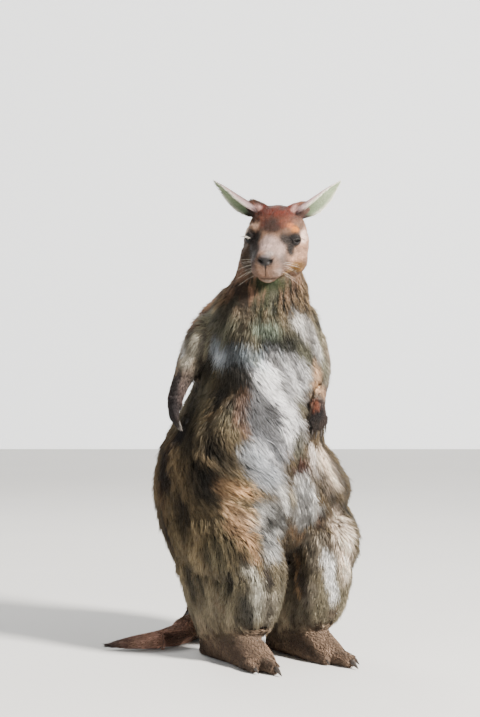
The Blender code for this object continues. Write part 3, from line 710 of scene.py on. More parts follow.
# node: (length, depth of the lying coat, width of a lock, distance between locks, clumping) in mm
COAT = {
    "rump": (32, 11.0, 1.8, 2.30, 0.50), "belly": (38, 13.0, 1.8, 2.25, 0.60),
    "chest": (36, 13.0, 1.7, 2.15, 0.60), "neck": (26, 9.0, 1.5, 2.00, 0.45),
    "head": (9, 2.8, 0.80, 1.22, 0.22),
    "tail_base": (20, 6.0, 1.8, 2.40, 0.35), "tail_middle": (14, 3.6, 1.5, 2.00, 0.3),
    "tail_tip": (16, 3.2, 1.4, 1.70, 0.4),
    "thigh": (32, 10.0, 1.7, 2.25, 0.60), "shank": (24, 8.0, 1.6, 2.10, 0.50),
    "foot": (11, 2.4, 1.7, 2.50, 0.3), "upper_arm": (24, 7.0, 1.6, 2.00, 0.40),
    "forearm": (14, 3.6, 1.3, 1.70, 0.3), "hand": (6, 1.4, 1.1, 1.45, 0.2),
}
TAIL_ROUTE = [(0, 100, 240), (14, 190, 124), (20, 228, 76), (10, 245, 44), (-25, 229, 29), (-60, 195, 26),
              (-92, 163, 24), (-127, 145, 20), (-166, 148, 18), (-206, 165, 14), (-250, 191, 6)]
ARM_ROUTE_L = [(70, -40, 668), (92, -40, 640), (107, -46, 600), (90, -96, 560), (56, -152, 522),
               (41, -180, 460)]
ARM_ROUTE_R = [(-80, 0, 665), (-106, 12, 635), (-123, 26, 600), (-149, 20, 560), (-171, 8, 524),
               (-181, 0, 460)]
# place in mm from the middle of the hips, direction of the hair's tips
LIE = [
    ((-115, -25, 685), (-0.07, 0.98, -0.17)), ((-108, -101, 666), (-0.40, 0.20, -0.88)),
    ((-119, -62, 610), (0.02, 0.38, -0.93)), ((-115, -91, 582), (0.02, -0.44, -0.90)),
    ((-91, -129, 577), (0.40, -0.51, -0.76)), ((-55, -154, 586), (0.67, -0.23, -0.70)),
    ((-44, -157, 627), (0.09, -0.18, -0.98)), ((-13, -156, 666), (0.25, -0.20, -0.95)),
    ((-60, -130, 700), (-0.15, -0.20, -0.97)), ((-70, -140, 665), (-0.10, -0.20, -0.97)),
    ((40, -147, 651), (0.37, -0.03, -0.93)), ((-39, -137, 715), (-0.17, -0.30, -0.94)),
    ((-44, -157, 555), (0.87, -0.26, -0.41)), ((-7, -164, 569), (0.55, -0.03, -0.83)),
    ((-61, -158, 515), (0.68, -0.40, -0.61)), ((-79, -163, 475), (0.48, -0.50, -0.73)),
    ((-35, -168, 501), (0.38, -0.31, -0.87)), ((-25, -179, 460), (0.28, -0.20, -0.94)),
    ((-148, -118, 439), (0.24, -0.71, -0.66)), ((-178, -55, 417), (-0.05, -0.60, -0.80)),
    ((-185, 44, 382), (-0.19, -0.56, -0.81)), ((-111, -106, 544), (-0.49, 0.73, -0.48)),
    ((-136, -65, 513), (-0.36, 0.62, -0.70)), ((-152, -36, 481), (-0.41, -0.34, -0.85)),
    ((-108, -129, 501), (0.04, -0.46, -0.89)), ((-1, -184, 432), (-0.15, -0.27, -0.95)),
    ((38, -178, 417), (-0.35, -0.46, -0.81)), ((71, -178, 379), (0.46, -0.15, -0.88)),
    ((-89, -136, 528), (0.35, -0.42, -0.84)), ((-112, -86, 682), (-0.42, 0.25, -0.86)),
    ((-84, -115, 704), (-0.36, -0.08, -0.90)), ((10, -146, 699), (0.20, -0.15, -0.97)),
    ((-90, -184, 367), (0.71, -0.33, -0.62)), ((-65, -165, 268), (0.37, -0.19, -0.91)),
    ((-141, -142, 346), (0.65, -0.72, -0.22)), ((-118, -148, 297), (0.72, -0.47, -0.51)),
    ((-119, -181, 224), (0.46, -0.06, -0.89)), ((-174, -80, 335), (0.29, -0.61, -0.73)),
    ((-180, 2, 287), (-0.06, -0.61, -0.79)), ((-175, -48, 236), (0.15, 0.31, -0.94)),
    ((-155, 21, 185), (0.18, -0.00, -0.98)), ((-161, -114, 264), (0.09, -0.53, -0.85)),
    ((-138, -136, 188), (0.42, 0.42, -0.81)), ((-92, -175, 149), (0.00, 0.17, -0.99)),
    ((-128, -79, 111), (0.23, 0.28, -0.93)), ((-141, -15, 132), (0.27, 0.02, -0.96)),
    ((9, -197, 323), (0.07, 0.28, -0.96)), ((-40, -195, 325), (0.51, 0.16, -0.84)),
    ((-58, -183, 134), (0.11, 0.19, -0.98)), ((23, -93, 201), (0.40, 0.71, -0.58)),
    ((44, -159, 207), (-0.02, -0.21, -0.98)), ((67, -184, 167), (0.16, -0.07, -0.98)),
    ((91, -170, 318), (0.52, 0.57, -0.64)), ((105, -186, 235), (0.10, 0.17, -0.98)),
    ((74, -172, 387), (0.68, 0.07, -0.73)), ((48, -162, 124), (0.03, 0.21, -0.98)),
    ((99, -185, 165), (-0.01, 0.15, -0.99)),
    # hidden sides
    ((0, 240, 300), (0, 0.1, -1)), ((0, 190, 450), (0, 0.25, -1)), ((0, 100, 640), (0, 0.35, -1)),
    ((0, 20, 760), (0, 0.35, -1)), ((-180, 80, 400), (0.05, 0, -1)), ((-190, 50, 280), (0.1, -0.3, -1)),
    ((190, 50, 280), (-0.1, -0.3, -1)), ((180, 80, 420), (-0.05, 0, -1)), ((120, 50, 580), (0.1, 0.1, -1)),
    ((-100, 60, 600), (-0.1, 0.2, -1)), ((0, -50, 150), (0, 0, -1)), ((160, -50, 150), (-0.1, -0.2, -1)),
    ((-160, 0, 150), (0.1, -0.2, -1)), ((100, 100, 200), (0, 0.1, -1)), ((-100, 100, 200), (0, 0.1, -1)),
    ((0, 160, 170), (0, 0.6, -0.7)), ((80, -10, 750), (0.5, 0.2, -0.8)),
]
FOOT_LIE = [
    ((0, -150, 40), (0, -1, -0.25)), ((0, 50, 50), (0, -0.5, -0.8)),
]
# the same for the head, in its own axes
HEAD_LIE = [
    ((0, -125, 15), (0, 0.9, 0.35)), ((0, -70, 35), (0, 0.85, 0.45)), ((0, 0, 68), (0, 1, 0.1)),
    ((0, 60, 30), (0, 0.6, -0.8)), ((50, -10, -10), (0.15, 0.8, -0.45)), ((-50, -10, -10), (-0.15, 0.8, -0.45)),
    ((25, -80, -15), (0.2, 0.9, -0.25)), ((-25, -80, -15), (-0.2, 0.9, -0.25)),
    ((30, -30, -55), (0.1, 0.7, -0.7)), ((-30, -30, -55), (-0.1, 0.7, -0.7)), ((0, -110, -50), (0, 0.6, -0.6)),
    ((0, 0, -90), (0, 0.1, -1)), ((35, -20, 45), (0.5, 0.6, 0.5)), ((-35, -20, 45), (-0.5, 0.6, 0.5)),
    ((50, 15, 50), (0.8, 0.1, 0.6)), ((-50, 15, 50), (-0.8, 0.1, 0.6)),
]


def along_route(points, route):
    """Direction of the nearest stretch of a route given in mm."""
    route = np.array(route) * MM
    centres = (route[1:] + route[:-1]) / 2
    runs = unit(route[1:] - route[:-1])
    weight = 1 / (np.linalg.norm(points[:, None] - centres, axis=2) ** 4 + 1e-9)
    return unit(weight @ runs)


def from_guides(points, guides, reach=0.03):
    places = np.array([guide[0] for guide in guides]) * MM
    arrows = unit(np.array([guide[1] for guide in guides], float))
    weight = 1 / (np.linalg.norm(points[:, None] - places, axis=2) ** 2 + reach ** 2) ** 2
    return unit(weight @ arrows)


def lie_at(points, labels):
    flow = np.zeros_like(points)
    for index, node in enumerate(FLESH):
        mine = labels == index
        here = points[mine]
        if not len(here):
            continue
        if node.startswith("tail"):
            flow[mine] = along_route(here - HIPS, TAIL_ROUTE)
        elif "arm" in node or node.startswith("hand"):
            flow[mine] = along_route(here - HIPS, ARM_ROUTE_L if node.endswith("_l") else ARM_ROUTE_R)
        elif node == "head":
            spots = to_head(here)
            throat = (smoothstep(-0.040, -0.066, spots[:, 2]) * smoothstep(0.03, -0.02, spots[:, 1]))[:, None]
            flow[mine] = from_guides(spots, HEAD_LIE, 0.012) @ TURN.T * (1 - throat) \
                + np.array([0.0, 0.05, -1.0]) * throat
        elif node.startswith("foot"):
            flow[mine] = from_guides(here - HIPS, FOOT_LIE)
        else:
            flow[mine] = from_guides(here - HIPS, LIE, 0.012)
    return flow


# ---------------------------------------------------------------- the skin

def joined_flesh():
    """All flesh nodes as one closed skin, still out at the tips of the coat."""
    copies = []
    for node in FLESH:
        copy = merged_copy(node, "flesh")
        points = points_of(copy.data)
        set_points(copy.data, points + normals_of(copy.data) * 0.0005)
        copies.append(copy)
    skin = joined(copies)
    skin.name = "skin"
    apply(skin, "REMESH", mode="VOXEL", voxel_size=SKIN_VOXEL, adaptivity=0.0)
    apply(skin, "SMOOTH", factor=0.5, iterations=9)
    apply(skin, "TRIANGULATE")
    on_head = smoothstep(0.150, 0.125, lengths_of(points_of(skin.data) - PIVOT))
    group = skin.vertex_groups.new(name="coarse")
    for value in range(0, 11):
        chosen = np.where(np.round((1 - on_head) * 10) == value)[0]
        group.add([int(i) for i in chosen], max(value / 10, 0.02), "REPLACE")
    ratio = SKIN_TRIANGLES / len(skin.data.polygons)
    apply(skin, "DECIMATE", decimate_type="COLLAPSE", ratio=ratio, vertex_group="coarse",
          vertex_group_factor=1.0)
    skin.vertex_groups.clear()
    return skin


def nearest_nodes(points):
    """Index in FLESH of the node whose surface is nearest to each point."""
    verts, tris, owner = [], [], []
    start = 0
    for index, node in enumerate(FLESH):
        mesh = frame["nodes"][node].data
        mesh.calc_loop_triangles()
        corners = rows_of(mesh.loop_triangles, "vertices", 3, np.int32)
        verts.append(points_of(mesh))
        tris.append(corners + start)
        owner += [index] * len(corners)
        start += len(mesh.vertices)
    tree = surface_tree(np.vstack(verts), np.vstack(tris))
    return np.array([owner[tree.find_nearest(Vector(p))[2]] for p in points])


def fine_face(skin):
    """Finer triangles round the eyes and over the muzzle."""
    only(skin)
    shape = bmesh.new()
    shape.from_mesh(skin.data)
    shape.verts.ensure_lookup_table()
    places = to_head(np.array([vert.co for vert in shape.verts]))
    near_eye = eye_distance(places) < 0.021
    muzzle = (places[:, 1] < -0.096) & (np.abs(places[:, 0]) < 0.05) & (np.abs(places[:, 2]) < 0.07)
    chosen = near_eye | muzzle
    edges = [edge for edge in shape.edges
             if chosen[edge.verts[0].index] and chosen[edge.verts[1].index]]
    bmesh.ops.subdivide_edges(shape, edges=edges, cuts=1, use_grid_fill=True)
    bmesh.ops.triangulate(shape, faces=shape.faces)
    shape.to_mesh(skin.data)
    shape.free()


def eye_axes(side):
    """Gaze, direction to the nose and direction up, on the ball of one eye."""
    gaze = GAZE * (side, 1, 1)
    up = unit(np.array([0.0, 0.10, 1.0]) - gaze * (np.array([0.0, 0.10, 1.0]) @ gaze))
    fore = np.cross(up, gaze) * side
    if fore[1] > 0:
        fore = -fore
    return gaze, fore, up


def ball_angles(away, gaze, fore, up):
    """Angles of directions from an eyeball's middle: to the nose side and up."""
    return np.arctan2(away @ fore, away @ gaze), np.arctan2(away @ up, away @ gaze)


LID_HALF = 0.80                 # half the width of the opening, in radians on the ball
LID_TOP, LID_LOW = 0.20, 0.38   # how far it opens up and down
LID_OVER = 0.0018               # how far the lids stand out from the ball, and at least
LID_LEAST = 0.0012
BEHIND = 0.0022                 # how far the skin lies behind the ball's front in the opening
SECTORS = 36                    # in which the rim of a socket is looked for


def lid_line(u, top):
    """Height of the upper or lower lid's edge over the width of the opening."""
    arch = np.clip(1 - (u / LID_HALF) ** 2, 0, 1)
    return LID_TOP * arch ** 0.8 if top else -LID_LOW * arch ** 0.9


def in_opening(places, margin):
    """Points over the opening between the lids, margin radians wider all round."""
    found = np.zeros(len(places), bool)
    for side in (1, -1):
        gaze, fore, up = eye_axes(side)
        offset = places - eye_middle(side)
        away = unit(offset)
        u, v = ball_angles(away, gaze, fore, up)
        found |= (lengths_of(offset) < EYE_RADIUS + 0.006) & (away @ gaze > 0.2) \
            & (np.abs(u) < LID_HALF + margin) & (v < lid_line(u * 0.9, True) + margin) \
            & (v > lid_line(u * 0.9, False) - margin)
    return found


def mouth_height(places):
    return -0.0385 + 0.10 * np.clip(places[:, 1] + 0.075, 0, 0.03)


def turned_out(offset, normals, gaze, fore, up):
    """Directions from an eyeball's middle, with the wall of its socket turned out over its front."""
    away = unit(offset)
    tilt = np.arccos(np.clip(away @ gaze, -1, 1))
    around = np.arctan2(away @ up, away @ fore)
    wall = (lengths_of(offset) < EYE_RADIUS + 0.004) & ((away * normals).sum(axis=1) < -0.15)
    sector = ((around + np.pi) / (2 * np.pi) * SECTORS).astype(int) % SECTORS
    rim = np.array([np.percentile(tilt[wall & (sector == n)], 2) if (wall & (sector == n)).any() else np.nan
                    for n in range(SECTORS)])
    rim = np.where(np.isnan(rim), np.nanmean(rim), rim)
    rim = (np.roll(rim, 1) + 2 * rim + np.roll(rim, -1)) / 4
    middles = (np.arange(SECTORS) + 0.5) / SECTORS * 2 * np.pi - np.pi
    edge = np.interp(around, middles, rim, period=2 * np.pi)
    tilt = np.where(wall, edge * (np.pi - tilt) / (np.pi - edge), tilt)
    sideways = unit(away - gaze * (away @ gaze)[:, None])
    return gaze * np.cos(tilt)[:, None] + sideways * np.sin(tilt)[:, None], tilt, wall


def shape_face(places, on_head, normals):
    """Lids and sockets, nostrils, groove of the nose and mouth, in the head's axes."""
    places = places.copy()
    for side in (1, -1):
        centre = eye_middle(side)
        gaze, fore, up = eye_axes(side)
        radius = lengths_of(places - centre)
        near = (on_head > 0.5) & (radius < 0.032)
        away, tilt, wall = turned_out(places - centre, normals, gaze, fore, up)
        u, v = ball_angles(away, gaze, fore, up)
        inside = (np.abs(u) < LID_HALF) & (v < lid_line(u, True)) & (v > lid_line(u, False)) & (tilt < 1.2)
        fold = np.exp(-((v - lid_line(u, True) - 0.30) / 0.09) ** 2) * smoothstep(1.0, 0.6, np.abs(u))
        cover = np.where(wall, 1, smoothstep(1.60, 1.10, tilt))
        radius = radius + (EYE_RADIUS + LID_OVER - fold * 0.0007 - radius) * cover
        radius = np.where(inside, EYE_RADIUS - BEHIND, np.maximum(radius, EYE_RADIUS + LID_LEAST))
        places = np.where(near[:, None], centre + away * radius[:, None], places)
    # nostrils: a pit with a slit that runs out and up
    for side in (1, -1):
        pit = np.exp(-(((places[:, 0] - side * 0.0085) / 0.0034) ** 2
                       + ((places[:, 2] + 0.0010) / 0.0030) ** 2))
        slit = np.exp(-(((places[:, 0] - side * 0.0128) / 0.0038) ** 2
                        + ((places[:, 2] - 0.0018 + (side * places[:, 0] - 0.0128) * -0.6) / 0.0018) ** 2))
        depth = (pit * 0.0062 + slit * 0.0042) * on_head * smoothstep(-0.105, -0.118, places[:, 1])
        places[:, 1] += depth
    front = on_head * smoothstep(-0.095, -0.112, places[:, 1])
    groove = np.exp(-(places[:, 0] / 0.0013) ** 2) * smoothstep(-0.004, -0.010, places[:, 2])
    places[:, 1] += groove * smoothstep(-0.040, -0.032, places[:, 2]) * front * 0.0016
    mouth_z = mouth_height(places)
    mouth = np.exp(-((places[:, 2] - mouth_z) / 0.0018) ** 2) * on_head
    mouth *= smoothstep(-0.050, -0.066, places[:, 1])
    centre_line = np.stack([np.zeros(len(places)), np.full(len(places), -0.07), mouth_z], axis=1)
    inward = unit((centre_line - places) * (1, 1, 0))
    places += inward * (mouth * 0.0034)[:, None]
    return places


def make_skin():
    skin = joined_flesh()
    fine_face(skin)
    mesh = skin.data
    points = points_of(mesh)
    edges = edges_of(mesh)
    count = len(points)
    labels = nearest_nodes(points)
    weights = spread(np.eye(len(FLESH))[labels], edges, count, 14)
    weights /= weights.sum(axis=1, keepdims=True)
    wide = spread(weights, edges, count, 90)
    wide /= wide.sum(axis=1, keepdims=True)
    normals = unit(spread(normals_of(mesh), edges, count, 5))
    numbers = np.array([COAT[family(node)] for node in FLESH])
    coat = weights @ numbers
    on_head = smoothstep(0.35, 0.8, weights[:, FLESH.index("head")])
    places = to_head(points)
    # hair of the head grows longer from the nose to the nape and throat
    run = np.interp(places[:, 1], [-0.135, -0.09, -0.03, 0.02, 0.07], [2.6, 4.0, 7.0, 12.0, 17.0])
    run += 9 * smoothstep(-0.045, -0.085, places[:, 2]) * smoothstep(-0.09, -0.04, places[:, 1])
    coat[:, 0] += (run - coat[:, 0]) * on_head
    coat[:, 1] += (np.clip(run * 0.24, 0.6, 4.2) - coat[:, 1]) * on_head
    coat[:, 2] += (np.clip(0.60 + run * 0.06, 0.7, 1.6) - coat[:, 2]) * on_head
    coat = spread(coat, edges, count, 30)
    gap = eye_distance(places) - EYE_RADIUS
    near_eye = (smoothstep(0.013, 0.004, gap) * on_head)[:, None]
    coat[:, :3] += (np.array([2.4, 0.5, 0.7]) - coat[:, :3]) * near_eye
    # the coat is pressed flat where the animal rests on the floor
    coat[:, 1] *= smoothstep(0.0, 0.02, points[:, 2]) * 0.85 + 0.15
    flow = lie_at(points, labels)
    for _ in range(6):
        flow = unit(spread(laid_flat(flow, normals), edges, count, 3))
    flow = laid_flat(flow, normals)
    calm = spread(points, edges, count, 10)
    limb = weights[:, [FLESH.index(n) for n in FLESH if n[:4] in ("hand", "foot", "fore")]].sum(axis=1)
    points += (calm - points) * ((1 - on_head) * (1 - np.clip(limb * 1.5, 0, 1)))[:, None]
    inner = points - normals * (coat[:, 1] * MM)[:, None]
    face = shape_face(to_head(inner), on_head, normals @ TURN)
    inner = np.where((on_head > 0)[:, None], from_head(face), inner)
    inner[:, 2] = np.maximum(inner[:, 2], SKIN_OFF_FLOOR)
    set_points(mesh, inner)
    rng = np.random.default_rng(31)
    fine = drawn_out(rng.normal(0, 1, count), inner, flow, edges, 16)
    broad = drawn_out(spread(rng.normal(0, 1, (count, 1)), edges, count, 5)[:, 0], inner, flow, edges, 20)
    streak = (fine * 0.62 + broad * 0.78)
    return skin, weights, wide, labels, flow, coat, streak


# ---------------------------------------------------------------- ears and lids

EAR_LENGTH = 0.110
EAR_HALF = [0.0130, 0.0162, 0.0200, 0.0222, 0.0226, 0.0212, 0.0182, 0.0136, 0.0076, 0.0020]    # root to tip
EAR_THICK = 0.0030
# side: root, direction of the tip and direction of the opening, in the head's axes
EARS = {
    1: ((0.034, 0.016, 0.051), (0.815, 0.14, 0.60), (0.42, -0.68, -0.60)),
    -1: ((-0.034, 0.016, 0.051), (-0.865, 0.06, 0.53), (-0.40, -0.68, -0.60)),
}


def ear_place(side):
    root, tip, facing = EARS[side]
    along = Vector(tip).normalized()
    back = -Vector(facing)
    back = (back - back.dot(along) * along).normalized()
    across = back.cross(along)
    matrix = Matrix((across, back, along)).transposed().to_4x4()
    matrix.translation = Vector(root)
    return matrix


def ring_faces(rows, around):
    """Triangles between rings of points that follow one another."""
    faces = []
    for i in range(rows - 1):
        for j in range(around):
            k = (j + 1) % around
            a, b, c, d = i * around + j, i * around + k, (i + 1) * around + k, (i + 1) * around + j
            faces += [(a, b, c), (a, c, d)]
    return faces


def ear_shape(side, rows=34, across=18):
    """A thin leaf-shaped cup, rolled to a tube at its root, and where each point lies on it."""
    points, along, round_, outer = [], [], [], []
    for i in range(rows):
        u = i / (rows - 1)
        half = np.interp(u, np.linspace(0, 1, len(EAR_HALF)), EAR_HALF) * 0.97
        wrap = math.radians(110 - 54 * min(1.0, u * 1.2)) * 0.97
        lean = 0.007 * math.sin(math.pi * u)
        radius = half / math.sin(min(wrap, math.pi / 2))
        thick = min(EAR_THICK * (1.0 - 0.3 * u), radius * 0.45)
        back = -radius * 0.6 - lean
        ring = []
        for shell in (0, 1):
            for j in range(across + 1):
                k = j if shell == 0 else across - j
                spot = 2 * k / across - 1
                rim = 0.25 + 0.75 * math.cos(math.pi / 2 * spot) ** 0.6
                r = radius - (0.0004 if shell == 0 else 0.0004 + thick * rim)
                ridge = 0.0007 * math.cos(spot * 9.0) * math.sin(math.pi * u) * shell
                angle = wrap * spot * (1.0 if shell == 0 else 0.985)
                ring.append((r * math.sin(angle), (r - ridge) * math.cos(angle) + back,
                             EAR_LENGTH * 0.995 * u))
                along.append(u)
                round_.append(spot)
                outer.append(1 - shell)
        points += ring
    around = 2 * (across + 1)
    faces = ring_faces(rows, around)
    last = (rows - 1) * around
    faces += [(last, last + j, last + j + 1) for j in range(1, around - 1)]
    faces += [(0, j + 1, j) for j in range(1, around - 1)]
    matrix = np.array(ear_place(side))
    places = (np.array(points) * (side, 1, 1)) @ matrix[:3, :3].T + matrix[:3, 3]
    return places, outward(places, np.array(faces)), np.array(along), np.array(round_), np.array(outer)


def ear_colors(along, round_, outer):
    """Dark purple-brown back, lighter at its upper edge as a painted highlight; sage-grey inside, darkened near
    the root and the medial edge by painted shade, with pale rims.
    """
    back = toward(np.tile(linear((58, 38, 38)), (len(along), 1)), (124, 98, 96), along ** 1.4)
    # painted highlight along the upper edge of the back
    upper = smoothstep(-0.30, -0.85, round_) * smoothstep(0.0, 0.2, along) * smoothstep(0.98, 0.6, along)
    back = toward(back, (196, 168, 166), upper * 0.75)
    inside = toward(np.tile(linear((94, 108, 84)), (len(along), 1)), (146, 158, 130),
                    smoothstep(0.1, 0.7, along))
    # painted shade inside the ear, near its root and its medial edge
    deep = smoothstep(0.66, 0.20, along) * smoothstep(0.15, -0.60, round_)
    inside = toward(inside, (36, 26, 24), np.clip(deep + smoothstep(0.26, 0.04, along), 0, 1))
    color = np.where(outer[:, None] > 0.5, back, inside)
    rim = smoothstep(0.84, 0.98, np.abs(round_)) * smoothstep(0.12, 0.34, along)
    return toward(color, (228, 224, 208), rim * 0.85)


def tube(route, radius, around=8):
    """A closed round tube along a route, as points and triangles."""
    route = np.asarray(route)
    radius = np.broadcast_to(radius, len(route))
    run = unit(np.gradient(route, axis=0))
    side = unit(np.cross(run, run[::-1] + (0.31, 0.17, 0.93)))
    other = np.cross(run, side)
    angles = np.linspace(0, 2 * np.pi, around, endpoint=False)
    rings = route[:, None] + radius[:, None, None] * (
        side[:, None] * np.cos(angles)[None, :, None] + other[:, None] * np.sin(angles)[None, :, None])
    points = list(rings.reshape(-1, 3)) + [route[0], route[-1]]
    rows = len(route)
    faces = ring_faces(rows, around)
    for j in range(around):
        k = (j + 1) % around
        faces += [(rows * around, k, j), (rows * around + 1, (rows - 1) * around + j, (rows - 1) * around + k)]
    points = np.array(points)
    return points, outward(points, np.array(faces))


def on_ball(side, u, v, radius):
    """A point over one eye, by its angles to the nose side and up, in the head's axes."""
    gaze, fore, up = eye_axes(side)
    ray = unit(gaze + np.tan(u)[..., None] * fore + np.tan(v)[..., None] * up)
    return eye_middle(side) + ray * radius


def lid_rims(side):
    """Thick dark edges of the two lids."""
    pieces = []
    for top in (True, False):
        u = np.linspace(-LID_HALF, LID_HALF, 26)
        line = on_ball(side, u, lid_line(u, top), EYE_RADIUS + 0.0010)
        thick = (0.0016 if top else 0.0010) * (0.55 + 0.45 * np.sin(np.linspace(0, np.pi, 26)))
        pieces.append(tube(line, thick))
    return pieces


# ---------------------------------------------------------------- tufts

def sample(triangles, points, spacing, rng):
    """Spots spread evenly over triangles: triangle index and corner weights."""
    area = lengths_of(face_normals(points, triangles)) / 2
    wanted = area / spacing ** 2
    edge = np.cumsum(wanted)
    count = int(edge[-1])
    spots = (np.arange(count) + rng.random(count)) * (edge[-1] / max(count, 1))
    index = np.minimum(np.searchsorted(edge, spots), len(triangles) - 1)
    r, s = np.sqrt(rng.random(count)), rng.random(count)
    return index, np.stack([1 - r, r * (1 - s), r * s], axis=1)


def blended(values, triangles, index, corner):
    return (values[triangles[index]] * corner[:, :, None]).sum(axis=1)


TUFT_ROLL = 0.35        # how unevenly locks are turned about their length, in radians
TUFT_BEND = 0.46        # where along its length a lock bends
TUFT_BOW = 0.62         # how much of its height it has there
ROOT_DEPTH = 0.0012     # how deep a lock is rooted
UNEVEN = 0.16           # how much locks differ in tone and in direction
CLUMP_SIZE = 15         # locks to a clump
CLUMP_REACH = 0.012
GUARD_SHARE = 0.09      # share of single longer, rougher hairs
TUFT_FACES = np.array([(4, 1, 2), (4, 2, 3), (4, 3, 1), (0, 2, 1), (0, 3, 2), (0, 1, 3)])


def tuft_points(root, normal, flow, length, height, rng):
    """Middle and tip of locks that lie along flow and stand by height, and their two cross directions."""
    side = unit(np.cross(flow, normal))
    roll = rng.normal(0, TUFT_ROLL, len(root))[:, None]
    across = unit(side * np.cos(roll) + normal * np.sin(roll))
    above = unit(np.cross(across, flow))
    above = np.where((above * normal).sum(axis=1, keepdims=True) < 0, -above, above)
    length, height = length[:, None], height[:, None]
    bend = root + flow * length * TUFT_BEND + normal * height * TUFT_BOW
    tip = root + flow * length + normal * height * rng.uniform(0.6, 1.15, (len(root), 1))
    return bend, tip, across, above


def finished_tufts(root, normal, bend, tip, across, above, width):
    """The five corners of each lock: root, left, ridge, right, tip."""
    width = width[:, None]
    base = root - normal * ROOT_DEPTH
    left = bend - across * width * 0.5 - above * width * 0.16
    right = bend + across * width * 0.5 - above * width * 0.16
    ridge = bend + above * width * 0.30
    return np.stack([base, left, ridge, right, tip], axis=1)


def clumped(root, bend, tip, leaders, strength):
    """Draws the tips of neighbouring locks together."""
    tree = KDTree(len(leaders))
    for i, index in enumerate(leaders):
        tree.insert(root[index], int(index))
    tree.balance()
    chief = np.array([tree.find(spot)[1] for spot in root])
    strength = strength[:, None]
    gap = (tip[chief] - tip)
    most = 0.30 * np.linalg.norm(tip - root, axis=1, keepdims=True)
    gap = gap * np.minimum(1, most / np.maximum(np.linalg.norm(gap, axis=1, keepdims=True), 1e-9))
    near = np.exp(-(np.linalg.norm(root[chief] - root, axis=1, keepdims=True) / CLUMP_REACH) ** 2)
    return bend + gap * strength * near * 0.40, tip + gap * strength * near, chief


def unwrap(name, points, triangles, index, corner):
    """Where spots of a patch of skin lie on an unwrap of its own shape."""
    used, compact = np.unique(triangles, return_inverse=True)
    patch = mesh_object(name, points[used], compact.reshape(-1, 3))
    edited(patch, bpy.ops.uv.smart_project, angle_limit=1.25, island_margin=0.004)
    mesh = patch.data
    uv = rows_of(mesh.uv_layers[0].uv, "vector", 2).reshape(-1, 3, 2)
    bpy.data.objects.remove(patch)
    bpy.data.meshes.remove(mesh)
    return (uv[index] * corner[:, :, None]).sum(axis=1)


HALF_PATCH = 0.0015     # half the width of a lock's patch on the map
PATCH = np.array([(0, -1), (-1, 0), (0, 0), (1, 0), (0, 1)]) * HALF_PATCH


def finish_hair(obj, uv, material):
    """Gives a piece of hair its UV map, material and body."""
    layer = obj.data.uv_layers.new(name="OFBake")
    layer.uv.foreach_set("vector", uv.astype(np.float32).ravel())
    obj.data.materials.append(material)
    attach(obj, "root")


def coat_object(name, corners, root_color, tip_color, root_uv, material):
    """One piece of coat from its locks."""
    count = len(corners)
    faces = (np.arange(count)[:, None, None] * 5 + TUFT_FACES[None]).reshape(-1, 3)
    obj = mesh_object(name, corners.reshape(-1, 3), faces)
    middle_color = root_color * 0.45 + tip_color * 0.55
    # the ridge corner of each lock is a touch paler: a painted highlight along its crest
    colors = np.stack([root_color * 0.8, middle_color, middle_color * 1.06, middle_color, tip_color], axis=1)
    set_tint(obj.data, "tint", np.clip(colors.reshape(-1, 3), 0, 1))
    uv = (root_uv[:, None] + PATCH[None]).reshape(-1, 2)
    finish_hair(obj, uv[faces.ravel()], material)


def jitter_colors(root, tip, chief, rng):
    """Each lock a little lighter or darker, and whole clumps too."""
    single = rng.normal(0, UNEVEN, len(root))
    clump = rng.normal(0, UNEVEN * 0.8, len(root))[chief]
    factor = np.exp(single + clump)[:, None]
    pale = rng.random(len(root))[:, None]
    tip = tip * np.where(pale > 0.86, 1.25, 1.0)
    return root * factor, np.clip(tip * factor, 0, 0.92)


